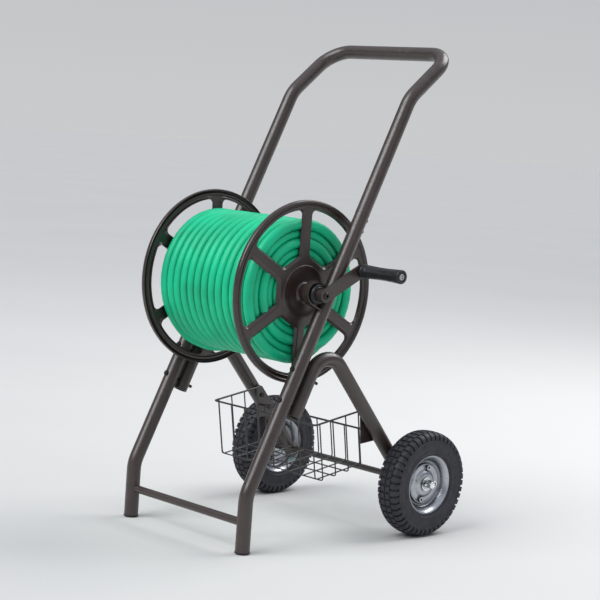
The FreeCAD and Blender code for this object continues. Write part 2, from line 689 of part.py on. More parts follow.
def make_axle_plug():
    """Plug that closes the crank end of the pipe and takes the crank bolt."""
    plug = padded_rings("plug", (("0", "28", "axle_radius - axle_wall", "crank_bolt_radius"),))
    place(plug, "crank_x - 30", "reel_y", "reel_z", ALONG_Y, "90")
    node(plug, "axle_plug")


def make_hub_collar(name, side):
    """Collar pinned to the axle outside either flange, which it turns."""
    collar = padded_rings(f"{name}_collar", (("0", "12", "15", "axle_radius"),))
    place_outward(collar, side, "flange_x + cup_height", "reel_y", "reel_z")
    node(collar, f"{name}_hub_collar")


def make_outlet():
    """Elbow brazed into the axle: a stub down into the drum and a nipple with the hose's coupling."""
    bore = "axle_radius - axle_wall"
    stub = rod("outlet_stub", "6.9", f"outlet_drop + 6.9 - ({bore})", ALONG_X, "180",
               x="outlet_x", y="reel_y", z=f"reel_z - ({bore})")
    nipple = rod("outlet_nipple", "6.9", "lead_y - 6", ALONG_X, "-90",
                 x="outlet_x", y="reel_y", z="reel_z - outlet_drop")
    node(fuse("outlet", [stub, nipple]), "outlet_elbow")
    coupling = turned("inner_coupling", (
        ("6.9", "0"), ("11.4", "0"), ("12.2", "1"), ("12.2", "lead_y - 12"), ("10.5", "lead_y - 8"),
        ("0", "lead_y - 8"), ("0", "lead_y - 14"), ("6.9", "lead_y - 14")))
    place(coupling, "outlet_x", "reel_y + 8", "reel_z - outlet_drop", angle="-90")
    node(coupling, "hose_inner_coupling")


FIRST_LAYER = "(drum_radius + hose_radius + 0.2)"
LAST_LAYER = f"({FIRST_LAYER} + (hose_layers - 1) * layer_pitch)"
LEAD_RADIUS = (f"(({FIRST_LAYER} * {FIRST_LAYER} - lead_y * lead_y - outlet_drop * outlet_drop)"
               f" / (2 * ({FIRST_LAYER} - outlet_drop)))")
TAIL_RADIUS = f"({LAST_LAYER} + tail_lift)"


def make_hose():
    """The hose in three: a lead out of the drum, the winding, and the stretch that lies over it."""
    winding = padded_rings("winding", (("0", "hose_width", f"{LAST_LAYER} + hose_radius",
                                        f"{FIRST_LAYER} - hose_radius"),))
    place(winding, "-hose_width / 2", "reel_y", "reel_z", ALONG_Y, "90")
    node(winding, "hose_winding")
    lead = doc.addObject("Part::Torus", "lead")
    bind(lead, Radius1=LEAD_RADIUS, Radius2="hose_radius",
         Angle3=f"90 deg + atan2({LEAD_RADIUS} - outlet_drop; lead_y)")
    place(lead, "outlet_x", "reel_y + lead_y", f"reel_z - outlet_drop + {LEAD_RADIUS}", ALONG_Y, "90")
    node(lead, "hose_lead")
    tail = doc.addObject("Part::Torus", "tail")
    bind(tail, Radius1=TAIL_RADIUS, Radius2="hose_radius", Angle3="90")
    place(tail, "tail_x", "reel_y", "reel_z + tail_lift", ALONG_Y, "90")
    node(tail, "hose_tail")


def make_hose_coupling():
    """Male coupling on the free end, at the back of the winding and pointing up."""
    grip = "coupling_radius + 0.6"
    coupling = turned("outer_coupling", (
        ("0", "0"), ("coupling_radius - 0.8", "0"), ("coupling_radius - 0.8", "24"), (grip, "26"),
        (grip, "38"), ("coupling_radius - 1.2", "40"), ("coupling_radius", "41"),
        ("coupling_radius", "coupling_length"), ("8", "coupling_length"), ("8", "20"), ("0", "20")))
    place(coupling, "tail_x", f"reel_y + {TAIL_RADIUS}", "reel_z + tail_lift")
    node(coupling, "hose_end_coupling")


# ---------------------------------------------------------------- crank and grip

def at_crank(reach):
    """Y and Z of a point on the crank arm's centreline."""
    return f"reel_y + ({reach}) * cos(crank_angle)", f"reel_z + ({reach}) * sin(crank_angle)"


def make_crank():
    """Flat bar with round ends, welded to a boss that fits over the axle."""
    bar = doc.addObject("Part::Box", "crank_bar")
    bind(bar, Length="crank_sheet", Width="crank_length", Height="crank_width")
    place(bar, "crank_x", "reel_y + crank_width / 2 * sin(crank_angle)",
          "reel_z - crank_width / 2 * cos(crank_angle)", angle="crank_angle")
    shapes = [bar]
    holes = []
    for name, reach, bore in (("axle", "0", "crank_bolt_radius"),
                              ("spindle", "crank_length", "spindle_radius")):
        y, z = at_crank(reach)
        shapes.append(rod(f"crank_{name}_end", "crank_width / 2", "crank_sheet", ALONG_Y, "90",
                          x="crank_x", y=y, z=z))
        holes.append(rod(f"crank_{name}_hole", bore, "crank_sheet + 2", ALONG_Y, "90",
                         x="crank_x - 1", y=y, z=z))
    shapes.append(rod("crank_boss", "boss_radius", "boss_length + 1", ALONG_Y, "90",
                      x="crank_x - boss_length", y="reel_y", z="reel_z"))
    holes.append(rod("crank_boss_bore", "axle_radius", "boss_length + 1", ALONG_Y, "90",
                     x="crank_x - boss_length - 1", y="reel_y", z="reel_z"))
    node(cut("crank_cut", fuse("crank_solid", shapes), holes), "crank_arm")


def make_crank_bolt():
    """Button-head screw with a hexagon socket, into the axle plug."""
    screw = turned("crank_screw", (
        ("0", "0"), ("crank_bolt_radius", "0"), ("crank_bolt_radius", "crank_sheet + 20"),
        ("7", "crank_sheet + 20"), ("7", "crank_sheet + 21"), ("5", "crank_sheet + 23"),
        ("0", "crank_sheet + 23")))
    place(screw, "crank_x - 20", "reel_y", "reel_z", ALONG_Y, "90")
    socket = hexagon("crank_socket", "2.9", "3", ALONG_Y, "90",
                     x="crank_x + crank_sheet + 0.8", y="reel_y", z="reel_z")
    node(cut("crank_screw_cut", screw, [socket]), "crank_bolt")


def make_grip():
    """Spindle riveted through the crank arm, its nut, and the waisted grip that spins on it."""
    y, z = at_crank("crank_length")
    length = "grip_start - crank_x + 5 + grip_length"
    spindle = turned("spindle", (
        ("0", "0"), ("spindle_radius", "0"), ("spindle_radius", f"{length} - 3.5"),
        ("6.8", f"{length} - 3.5"), ("6.8", f"{length} - 1.2"), ("5.6", f"{length} - 0.5"),
        ("4", f"{length} - 0.5"), ("3.4", f"{length} - 1.6"), ("0", f"{length} - 1.6")))
    place(spindle, "crank_x - 5", y, z, ALONG_Y, "90")
    node(spindle, "grip_spindle")
    blank = hexagon("spindle_nut_blank", "8.5", "5", ALONG_Y, "90", x="crank_x - 5", y=y, z=z)
    hole = rod("spindle_nut_hole", "spindle_radius", "7", ALONG_Y, "90", x="crank_x - 6", y=y, z=z)
    node(cut("spindle_nut_cut", blank, [hole]), "spindle_nut")
    bore = "spindle_radius + running_fit"
    grip = turned("grip_solid", (
        (bore, "0"), ("grip_radius - 1", "0"), ("grip_radius", "2"), ("grip_radius - 0.2", "9"),
        ("grip_waist + 0.6", "24"), ("grip_waist", "grip_length / 2"),
        ("grip_waist + 0.3", "grip_length - 26"), ("grip_radius - 0.8", "grip_length - 10"),
        ("grip_radius", "grip_length - 4"), ("grip_radius - 1.2", "grip_length"),
        ("7.6", "grip_length"), ("7.6", "grip_length - 4.2"), (bore, "grip_length - 4.2")))
    place(grip, "grip_start", y, z, ALONG_Y, "90")
    node(grip, "grip")


# ---------------------------------------------------------------- water inlet

def make_inlet():
    """Swivel on the free end of the pipe: a hexagon body with a male hose thread, and its washer."""
    end = "inlet_body + inlet_thread"
    body = turned("swivel", (
        ("axle_radius + running_fit", "0"), ("15", "0"), ("16", "1"), ("16", "inlet_body - 1"),
        ("coupling_radius - 1", "inlet_body"), ("coupling_radius", "inlet_body + 1"),
        ("coupling_radius", f"{end} - 1"), ("coupling_radius - 1", end), ("8", end),
        ("8", "swivel_bore"), ("axle_radius + running_fit", "swivel_bore")))
    place_outward(body, -1, "swivel_x", "reel_y", "reel_z")
    node(body, "inlet_swivel")
    gap = "swivel_x + swivel_bore - pipe_end_x"
    washer = padded_rings("inlet_washer", (("0", f"{gap} - 0.1", "axle_radius - 0.1", "8.1"),))
    place_outward(washer, -1, "pipe_end_x + 0.1", "reel_y", "reel_z")
    node(washer, "inlet_seal")


# ---------------------------------------------------------------- wheels

def make_wheel_axle():
    axle = turned("rod", (
        ("0", "0"), ("rod_radius - 1", "0"), ("rod_radius", "1"), ("rod_radius", "2 * rod_half - 1"),
        ("rod_radius - 1", "2 * rod_half"), ("0", "2 * rod_half")))
    place(axle, "-rod_half", "0", "wheel_radius", ALONG_Y, "90")
    holes, pins, spacers, washers = [], [], [], []
    for name, side in SIDES:
        pin_x = f"{side} * (rod_half - 9)"
        holes.append(rod(f"{name}_pin_hole", "1.6", "30", ALONG_X, "90", x=pin_x, y="15",
                         z="wheel_radius"))
        shank = rod(f"{name}_pin_shank", "1.6", "24", ALONG_X, "90", x=pin_x, y="11",
                    z="wheel_radius")
        loop = doc.addObject("Part::Torus", f"{name}_pin_loop")
        bind(loop, Radius1="5", Radius2="1.6")
        place(loop, pin_x, "15", "wheel_radius", ALONG_Y, "90")
        pins.append(fuse(f"{name}_pin", [shank, loop]))
        hub_end = "(hub_half + 0.3 + washer_sheet)"
        spacers.append(place_outward(
            padded_rings(f"{name}_spacer", (
                ("0", f"wheel_x - {hub_end} - side_x - tube_radius - 0.4", "9", "rod_radius"),)),
            side, "side_x + tube_radius + 0.2", "0", "wheel_radius"))
        for place_name, x in (("inner", f"wheel_x - {hub_end}"), ("outer", "wheel_x + hub_half + 0.3")):
            washer = padded_rings(f"{name}_{place_name}_washer",
                                  (("0", "washer_sheet", "washer_radius", "rod_radius"),))
            washers.append(place_outward(washer, side, x, "0", "wheel_radius"))
    node(cut("rod_cut", axle, holes), "wheel_axle")
    node(group("pins", pins), "wheel_pins")
    node(group("spacers", spacers), "wheel_spacers")
    node(group("washers", washers), "wheel_washers")


def make_tyre(name, side):
    half = "tyre_half"
    r = "wheel_radius"
    profile = (("49.2", "8"), ("51.2", "17.2"), ("54.2", "19.2"), ("rim_radius + 0.2", "20.1"),
               ("rim_radius + 1.7", f"{half} - 2.5"), ("66", f"{half} - 0.4"), ("78", half),
               (f"{r} - 15", f"{half} - 1.5"), (f"{r} - 7", f"{half} - 4.5"), (f"{r} - 2.4", f"{half} - 9"),
               (r, f"{half} - 16"))
    mirrored = tuple((radius, f"-({height})") for radius, height in reversed(profile))
    tyre = turned(f"{name}_tyre_solid", profile + mirrored)
    place_outward(tyre, side, "wheel_x", "0", "wheel_radius")
    node(tyre, f"{name}_tyre")


def make_rim_half(name, side, half_name, facing):
    """One pressed half: hub cup, raised plateau with the bolt holes, seat for the tyre, and lip."""
    s = "rim_sheet"
    outline = (
        ("hub_radius", "5"), ("17", "5"), ("24", "11"), ("36.5", "11"), ("39", "7"), ("44", "7"),
        ("47", "9"), ("49.5", "18.5"), ("53", "21"), ("rim_radius", "rim_half"),
        ("rim_radius", f"rim_half - {s}"), ("54", "19.4"), ("51", "17.5"), ("49", "8"), ("49", "0"),
        ("39.5", "0"), ("39.5", "4.5"), ("36", f"11 - {s}"), ("24.5", f"11 - {s}"), ("17.5", f"5 - {s}"),
        ("hub_radius", f"5 - {s}"))
    half = turned(f"{name}_{half_name}_rim_solid", outline)
    place(half, f"{side} * wheel_x", "0", "wheel_radius", ALONG_Y, f"{facing} * 90")
    holes = [rod(f"{name}_{half_name}_rim_hole_{number}", "2.5", "30", ALONG_Y, f"{facing} * 90",
                 x=f"{side} * wheel_x", y=y, z=z)
             for number, (y, z) in enumerate(rim_bolt_places())]
    node(cut(f"{name}_{half_name}_rim_cut", half, holes), f"{name}_{half_name}_rim")


def rim_bolt_places():
    """Y and Z of the two bolts that hold the rim halves together."""
    return [(f"{way} * rim_bolt_circle * cos(rim_bolt_angle)",
             f"wheel_radius + {way} * rim_bolt_circle * sin(rim_bolt_angle)") for way in (1, -1)]


def make_rim_bolts(name, side):
    bolts = []
    for number, (y, z) in enumerate(rim_bolt_places()):
        where = {"axis": ALONG_Y, "angle": f"{side} * 90", "y": y, "z": z}
        shank = rod(f"{name}_rim_shank_{number}", "2.5", "30", x=f"{side} * (wheel_x - 14)", **where)
        head = hexagon(f"{name}_rim_head_{number}", "4.8", "3.5", x=f"{side} * (wheel_x - 14.5)", **where)
        nut = hexagon(f"{name}_rim_nut_{number}", "4.8", "3.5", x=f"{side} * (wheel_x + 11)", **where)
        bolts.append(fuse(f"{name}_rim_bolt_{number}", [shank, head, nut]))
    node(group(f"{name}_rim_bolt_group", bolts), f"{name}_rim_bolts")


def make_wheel(name, side):
    make_tyre(name, side)
    make_rim_half(name, side, "outer", side)
    make_rim_half(name, side, "inner", -side)
    make_rim_bolts(name, side)
    hub = padded_rings(f"{name}_hub_tube", (
        ("-hub_half", "2 * hub_half", "hub_radius", "rod_radius + running_fit"),))
    place_outward(hub, side, "wheel_x", "0", "wheel_radius")
    node(hub, f"{name}_wheel_hub")


# ---------------------------------------------------------------- basket

def wire_across(name, radius, half, back, up):
    y, z = in_basket(back, up)
    return rod(name, radius, f"2 * ({half})", ALONG_Y, "90", x=f"-({half})", y=y, z=z)


def wire_back(name, radius, x, back, up, length):
    y, z = in_basket(back, up)
    return rod(name, radius, length, angle="basket_tilt - 90", x=x, y=y, z=z)


def wire_down(name, x, back, top, bottom):
    """An upright wire from one height of the basket down to another."""
    y, z = in_basket(back, bottom)
    return rod(name, "thin_wire", f"({top}) - ({bottom})", angle="basket_tilt", x=x, y=y, z=z)


def front_wire_places():
    return [f"{count} * wire_gap / 2" for count in (-7, -5, -3, -1, 1, 3, 5, 7)]


def side_wire_places():
    return [f"10 + {count} * side_wire_gap" for count in range(4)]


def make_basket():
    """Welded wire basket, split where its panels meet: front, rear, two sides and a bottom."""
    floor = "-basket_height"
    above_floor = "thin_wire - basket_height"
    under_floor = "-basket_height - 2 * thin_wire + 0.4"
    front = [wire_across("front_rim", "rim_wire", "basket_half + rim_wire", "0", "0")]
    rear = [wire_across("rear_rim", "rim_wire", "plate_x", "basket_depth", "-rear_rim_drop")]
    bottom = []
    for number, x in enumerate(front_wire_places()):
        front.append(wire_down(f"front_wire_{number}", x, "0", "0", above_floor))
        rear.append(wire_down(f"rear_wire_{number}", x, "basket_depth", "-rear_rim_drop", above_floor))
        bottom.append(wire_back(f"long_wire_{number}", "thin_wire", x, "-thin_wire", floor,
                                "basket_depth + 2 * thin_wire"))
    for number, back in enumerate(side_wire_places()):
        bottom.append(wire_across(f"cross_wire_{number}", "thin_wire", "basket_half + thin_wire", back,
                                  under_floor))
    node(fuse("basket_front", front), "basket_front_grid")
    node(fuse("basket_rear", rear), "basket_rear_grid")
    node(fuse("basket_bottom", bottom), "basket_bottom_grid")
    for name, side in SIDES:
        x = f"{side} * basket_half"
        wires = [wire_back(f"{name}_side_rim", "rim_wire", x, "rim_wire", "0", "basket_depth - rim_wire")]
        wires += [wire_down(f"{name}_side_wire_{number}", x, back, "0", f"{under_floor} + thin_wire")
                  for number, back in enumerate(side_wire_places())]
        node(fuse(f"basket_{name}", wires), f"basket_{name}_grid")


def plate_screw_places():
    return ("plate_screw", "plate_screw + plate_screw_gap")


def make_basket_plate(name, side):
    """Steel plate inside the rear leg that carries the basket's rims."""
    corners = (("-123", "252"), ("-108", "248"), ("-62", "194"), ("-66", "186"), ("-114", "181"))
    holes = [("2.4", *leg_line(distance)) for distance in plate_screw_places()]
    body = plate(f"{name}_plate", corners, "plate_sheet", holes)
    start = "plate_x" if side > 0 else "-plate_x - plate_sheet"
    place(body, start)
    node(body, f"{name}_basket_plate")


def make_basket_screws():
    """Tapping screws from inside, through the plates into the rear legs."""
    screws = []
    for name, side in SIDES:
        for number, distance in enumerate(plate_screw_places()):
            y, z = leg_line(distance)
            where = {"axis": ALONG_Y, "angle": f"{side} * 90", "y": y, "z": z}
            head = rod(f"{name}_plate_head_{number}", "4.5", "2.4", x=f"{side} * (plate_x - 2.4)", **where)
            shank = rod(f"{name}_plate_shank_{number}", "2.4", "10", x=f"{side} * plate_x", **where)
            screws.append(fuse(f"{name}_plate_screw_{number}", [head, shank]))
    node(group("plate_screws", screws), "basket_screws")


# ---------------------------------------------------------------- assembly, checks and files

def make_cart():
    make_handle()
    make_foot_crossbar()
    make_frame_bolts()
    make_drum()
    make_reel_axle()
    make_axle_plug()
    make_outlet()
    make_hose()
    make_hose_coupling()
    make_crank()
    make_crank_bolt()
    make_grip()
    make_inlet()
    make_wheel_axle()
    make_basket()
    make_basket_screws()
    for name, side in SIDES:
        for make in (make_side_tube, make_front_leg, make_foot_cap, make_rear_leg, make_bearing_bracket,
                     make_axle_bush, make_flange, make_hub_collar, make_wheel, make_basket_plate):
            make(name, side)


def check_cart():
    """Stop if any object failed, or if a sub-part has no sound solid."""
    for obj in doc.Objects:
        if {"Invalid", "Error"} & set(obj.State):
            raise RuntimeError(f"{obj.Label} failed: {obj.State}")
    for obj in nodes:
        if obj.Shape.isNull() or not obj.Shape.isValid() or not obj.Shape.Solids:
            raise RuntimeError(f"{obj.Label} has no sound solid")
    labels = [obj.Label for obj in nodes]
    if len(labels) != len(set(labels)) or len(labels) > 60:
        raise RuntimeError("the sub-parts need 60 or fewer different names")


def print_hose_bends():
    """The two loose stretches: their bend radius, and their volume against section times length."""
    section = math.pi * size("hose_radius") ** 2
    for obj in nodes:
        if obj.Label in ("hose_lead", "hose_tail"):
            radius = obj.Radius1.Value
            length = radius * math.radians(obj.Angle3.Value)
            ratio = obj.Shape.Volume / (section * length)
            print(f"{obj.Label}: radius {radius:.1f}, length {length:.1f}, volume ratio {ratio:.4f}")


def write_cart():
    os.makedirs("parts", exist_ok=True)
    for obj in nodes:
        obj.Shape.exportStep(f"parts/{obj.Label}.step")
    bounds = FreeCAD.BoundBox()
    for obj in nodes:
        bounds.add(obj.Shape.BoundBox)
    print(f"{len(nodes)} sub-parts, {bounds}")


fill_sheet()
make_cart()
doc.recompute()
check_cart()
print_hose_bends()
write_cart()
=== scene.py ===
"""Garden hose reel cart: a tubular steel cart, a hose wound on its reel, two wheels and a wire basket.

Lengths are in metres. Cart places are measured from the middle of the wheel axle on the floor:
x to the crank's side, y backward, z up. Reel places are given by x, a radius from the reel's axle
and an angle that starts at the back and rises over the top.
"""
import json
import math

import bmesh
import bpy
from mathutils import Matrix, Vector


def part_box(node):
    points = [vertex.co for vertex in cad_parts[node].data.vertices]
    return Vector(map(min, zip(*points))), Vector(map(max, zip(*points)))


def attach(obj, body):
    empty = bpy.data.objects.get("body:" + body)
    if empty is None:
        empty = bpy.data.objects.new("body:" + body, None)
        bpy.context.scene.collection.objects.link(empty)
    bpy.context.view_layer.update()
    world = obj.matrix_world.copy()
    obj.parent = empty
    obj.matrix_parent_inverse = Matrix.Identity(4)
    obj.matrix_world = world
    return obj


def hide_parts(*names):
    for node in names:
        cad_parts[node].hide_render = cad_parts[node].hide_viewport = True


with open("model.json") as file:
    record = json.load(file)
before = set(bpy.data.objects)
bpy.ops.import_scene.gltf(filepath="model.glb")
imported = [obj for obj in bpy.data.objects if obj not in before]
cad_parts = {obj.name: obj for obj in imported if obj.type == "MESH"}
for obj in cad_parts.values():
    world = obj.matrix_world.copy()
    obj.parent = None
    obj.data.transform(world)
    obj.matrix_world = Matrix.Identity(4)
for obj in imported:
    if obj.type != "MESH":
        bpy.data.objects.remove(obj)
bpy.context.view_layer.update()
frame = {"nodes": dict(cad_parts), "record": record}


def middle(node):
    """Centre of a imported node's box."""
    low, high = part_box(node)
    return (Vector(low) + Vector(high)) / 2


CART = Vector((middle("wheel_axle").x, middle("wheel_axle").y, 0))
REEL = Vector((CART.x, middle("reel_axle").y, middle("reel_axle").z))
SIDES = (("left", -1), ("right", 1))
FULL_TURN = 2 * math.pi

SPOKES = 6
FLANGE_X = 0.1345
FLANGE_SHEET = 0.0016
FLANGE_INNER_RING = 0.053
FLANGE_OUTER_RING = 0.1602
WINDOW_INNER = 0.066
WINDOW_OUTER = 0.156
WINDOW_CORNER = 0.009
SPOKE_WIDTH = 0.027
# Share of the pressed edge's width out from a window, and height above the web.
WINDOW_EDGE = ((0, -0.0050), (0.07, -0.0046), (0.30, -0.0026), (0.52, -0.0006), (0.64, 0),
               (0.80, 0), (1, 0))
NARROW_EDGE = 0.0036
WIDER_EDGE = 0.0050
# Radius and height above the web, from the ring outward and from the hub outward.
FLANGE_RIM = ((FLANGE_OUTER_RING, 0), (0.1608, 0.0007), (0.1615, 0.0011), (0.1630, 0.0011),
              (0.1638, 0.0004), (0.1645, -0.0006), (0.1663, -0.0006), (0.1671, 0.0006), (0.1680, 0.0020),
              (0.1694, 0.0034), (0.1710, 0.0040), (0.1727, 0.0038), (0.1741, 0.0029), (0.1749, 0.0012),
              (0.1750, -0.0010), (0.1750, -0.0040), (0.1746, -0.0050), (0.1738, -0.0054))
FLANGE_HUB = ((0.0107, 0.0036), (0.0130, 0.0040), (0.0155, 0.0040), (0.0172, 0.0034), (0.0186, 0.0016),
              (0.0200, 0.0006), (0.0230, 0.0003), (0.0350, 0.0002), (0.0478, 0.0002), (0.0486, 0.0008),
              (0.0494, 0.0018), (0.0504, 0.0019), (0.0512, 0.0010), (0.0518, 0.0001),
              (FLANGE_INNER_RING, 0))

HOSE_RADIUS = 0.0099
HOSE_SIDES = 16
HOSE_PITCH = 0.020
HOSE_LAYERS = 5
FIRST_LAYER = 0.0585
LAYER_STEP = 0.0174
WIDE_LAYER = 13
NARROW_LAYER_SHIFT = 0.0045
POINTS_A_TURN = 16
JOG_START = math.radians(250)
JOG_LENGTH = math.radians(90)
JOG_RISE = 0.0016
SWAY = 0.0007
SLACK = 0.0005
LEAD_RADIUS = 0.0372
LEAD_PLACE = Vector((0.120, 0.020, 0.0072))
LEAD_SWEEP = math.radians(109.8)
LEAD_STEPS = 5
WINDING_END = math.radians(236)
# Degrees, x and radius of the points that lead from the winding out to the coupling.
TAIL_CLIMB = ((247, -0.1190, 0.1310), (269, -0.1150, 0.1375), (291, -0.1100, 0.1440),
              (313, -0.1055, 0.1475), (336, -0.1015, 0.1510))
TAIL_PLACE = Vector((-0.100, 0.1518, 0.0237))
TAIL_STRAIGHT = 0.030

WHEEL_X = 0.2167
WHEEL_RADIUS = middle("wheel_axle").z
LUGS = 46
LUG_DEPTH = 0.0035
LUG_WALL = 0.05
GROOVE_SHARE = 0.35
TYRE_SECTION_MIDDLE = Vector((0, 0.080))
RIM_SHEET = 0.0013
RIM_PLATEAU = 0.0074
RIM_BOLT_CIRCLE = 0.0325
RIM_BOLT_DEGREES = (76, 256)
# Which way each end of a rim bolt faces, its head's height and how far the thread stands past it.
RIM_BOLT_ENDS = ((1, 0.0042, 0), (-1, 0.0050, 0.0022))
BOLT_HEAD_RADIUS = 0.0062
BOLT_WASHER_RADIUS = 0.0080
BOLT_WASHER_HEIGHT = 0.0010
BOLT_THREAD_RADIUS = 0.0030
# Place from the wheel's middle, radius, and which of the two staggered columns of lugs it is in.
TYRE_HALF = ((0.0200, 0.0570, None), (0.0206, 0.0580, None), (0.0216, 0.0594, None),
             (0.0224, 0.0612, None), (0.0229, 0.0640, None), (0.0234, 0.0646, None),
             (0.0241, 0.0652, None), (0.0243, 0.0668, None), (0.0239, 0.0676, None),
             (0.0244, 0.0720, None), (0.0250, 0.0780, None), (0.0253, 0.0830, None),
             (0.0252, 0.0862, None), (0.0257, 0.0868, None), (0.0258, 0.0884, None),
             (0.0252, 0.0892, None), (0.0250, 0.0904, None), (0.0257, 0.0912, 0), (0.0257, 0.0942, 0),
             (0.0248, 0.0975, 0), (0.0228, 0.1003, 0), (0.0198, 0.1024, 0), (0.0165, 0.1037, 0),
             (0.0134, 0.1044, 0), (0.0130, 0.1020, None), (0.0120, 0.1020, None), (0.0116, 0.1047, 1),
             (0.0080, 0.1051, 1), (0.0045, 0.1053, 1), (0.0014, 0.1054, 1), (0.0009, 0.1030, None))
# Radius and place from the wheel's middle, from the rolled lip in to the hub.
RIM_HALF = ((0.0578, 0.0196), (0.0588, 0.0203), (0.0591, 0.0213), (0.0588, 0.0221), (0.0579, 0.0225),
            (0.0567, 0.0220), (0.0545, 0.0198), (0.0520, 0.0165), (0.0505, 0.0139), (0.0498, 0.0124),
            (0.0492, 0.0112), (0.0488, 0.0090), (0.0478, 0.0068), (0.0462, 0.0052), (0.0436, 0.0042),
            (0.0420, 0.0042), (0.0412, 0.0050), (0.0407, 0.0068), (0.0400, 0.0079), (0.0388, 0.0083),
            (0.0376, 0.0079), (0.0366, RIM_PLATEAU), (0.0320, RIM_PLATEAU), (0.0285, RIM_PLATEAU),
            (0.0272, 0.0078), (0.0258, 0.0090), (0.0236, 0.0112), (0.0208, 0.0128), (0.0170, 0.0134),
            (0.0106, 0.0134))

SIDE_X = 0.1665
TUBE_RADIUS = 0.014
LEAN = math.radians(25.5)
LEG_BEND = (-0.424, 0.1087)
SEAMS = (0.223, 0.583)
# Along the tube and height above it of each thin dark band of painted shade at a joint.
SEAM_OUTLINE = ((-0.0006, 0.0001), (0.0006, 0.0001), (0.0006, -0.0006), (-0.0006, -0.0006))
AXLE_END = 0.2484
AXLE_RADIUS = 0.00655

BASKET_PLACE = Vector((0, -0.238, 0.2255))
BASKET_TILT = math.radians(10)
BASKET_HALF = 0.1485
BASKET_DEPTH = 0.124
BASKET_HEIGHT = 0.112
BASKET_REAR_DROP = 0.039
BASKET_HOOPS = 8
BASKET_HOOP_GAP = 0.0392
BASKET_CRADLES = 4
BASKET_FIRST_CRADLE = 0.010
BASKET_CRADLE_GAP = 0.035
BASKET_CORNER = 0.007
THIN_WIRE = 0.00135
RIM_WIRE = 0.002
WELD_OFFSET = 0.0015

# Place along the grip and radius, from the bore out; the outer end is measured from the grip's tip.
GRIP_INNER_END = ((0, 0.0052), (0, 0.0112), (0.0006, 0.0124), (0.0020, 0.0134), (0.0050, 0.0135),
                  (0.0062, 0.0130), (0.0072, 0.0128))
GRIP_OUTER_END = ((-0.0062, 0.0130), (-0.0052, 0.0135), (-0.0018, 0.0134), (-0.0005, 0.0126),
                  (0, 0.0112), (0, 0.0077), (-0.0042, 0.0076), (-0.0042, 0.0052))
GRIP_BEADS = 0.0136
GRIP_RADIUS = 0.0131
GRIP_WAIST = 0.0013
GRIP_PANELS = 8
GRIP_PANEL_DEPTH = 0.0007

FLOOR_REACH = 60


# ---------------------------------------------------------------- geometry helpers

def around_reel(x, radius, angle):
    """A point given by its distance from the reel's axle and its angle."""
    return REEL + Vector((x, radius * math.cos(angle), radius * math.sin(angle)))


def smooth_step(value):
    """0 below 0, 1 above 1, and an even rise between them."""
    value = min(max(value, 0), 1)
    return value * value * (3 - 2 * value)


def add_piece(name, vertices, faces, material, body, replaced=()):
    """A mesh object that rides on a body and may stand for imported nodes."""
    mesh = bpy.data.meshes.new(name)
    mesh.from_pydata([tuple(v) for v in vertices], [], faces)
    mesh.validate()
    mesh.polygons.foreach_set("use_smooth", [True] * len(mesh.polygons))
    mesh.materials.append(material)
    piece = bpy.data.objects.new(name, mesh)
    bpy.context.scene.collection.objects.link(piece)
    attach(piece, body)
    if replaced:
        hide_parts(*replaced)
    return piece


def add_bmesh(name, mesh, material, body, replaced=()):
    """The same as add_piece, from a mesh under construction."""
    mesh.verts.index_update()
    vertices = [vertex.co for vertex in mesh.verts]
    faces = [[vertex.index for vertex in face.verts] for face in mesh.faces]
    piece = add_piece(name, vertices, faces, material, body, replaced)
    mesh.free()
    return piece


def turn_outward(mesh, side):
    """Turn every face the same way, so that most of them look outward along X."""
    bmesh.ops.recalc_face_normals(mesh, faces=mesh.faces)
    mesh.normal_update()
    if sum(face.normal.x * face.calc_area() for face in mesh.faces) * side < 0:
        bmesh.ops.reverse_faces(mesh, faces=mesh.faces)


def thicken(piece, thickness, edge=0.0003):
    """Give a pressed sheet its thickness, behind its visible face, and soften its cut edges."""
    solid = piece.modifiers.new("sheet", "SOLIDIFY")
    solid.thickness = thickness
    solid.offset = -1
    soften(piece, edge)


def soften(piece, width):
    """Round the sharp edges of a piece by a small width."""
    bevel = piece.modifiers.new("edges", "BEVEL")
    bevel.width = width
    bevel.segments = 2
    bevel.limit_method = "ANGLE"
    bevel.angle_limit = math.radians(40)
    bevel.harden_normals = True


def sweep(points, radius, sides):
    """Vertices and faces of a closed round tube along points."""
    vertices, faces = [], []
    across = None
    for number, point in enumerate(points):
        ahead = points[min(number + 1, len(points) - 1)]
        behind = points[max(number - 1, 0)]
        along = (ahead - behind).normalized()
        if across is None:
            across = along.orthogonal().normalized()
        across = (across - along * across.dot(along)).normalized()
        up = along.cross(across)
        for side in range(sides):
            angle = FULL_TURN * side / sides
            vertices.append(point + radius * (math.cos(angle) * across + math.sin(angle) * up))
    for ring in range(len(points) - 1):
        for side in range(sides):
            after = (side + 1) % sides
            start = ring * sides
            faces.append((start + side, start + after, start + sides + after, start + sides + side))
    faces.append(tuple(reversed(range(sides))))
    faces.append(tuple(range(len(vertices) - sides, len(vertices))))
    return vertices, faces


def spline_points(control_points, resolution):
    """Points read from the smooth spline that control points give."""
    curve = bpy.data.curves.new("route", "CURVE")
    curve.dimensions = "3D"
    spline = curve.splines.new("NURBS")
    spline.points.add(len(control_points) - 1)
    for point, place in zip(spline.points, control_points):
        point.co = (*place, 1)
    spline.order_u = 3
    spline.use_endpoint_u = True
    spline.resolution_u = resolution
    route = bpy.data.objects.new("route", curve)
    line = bpy.data.meshes.new_from_object(route)
    points = [vertex.co.copy() for vertex in line.vertices]
    bpy.data.objects.remove(route)
    bpy.data.meshes.remove(line)
    return points


def skin_faces(rings, steps, first=0):
    """Faces of a closed skin over rings of vertices, with the last ring joined to the first."""
    faces = []
    for ring in range(rings):
        start, after = first + ring * steps, first + (ring + 1) % rings * steps
        for step in range(steps):
            turn = (step + 1) % steps
            faces.append((start + step, start + turn, after + turn, after + step))
    return faces


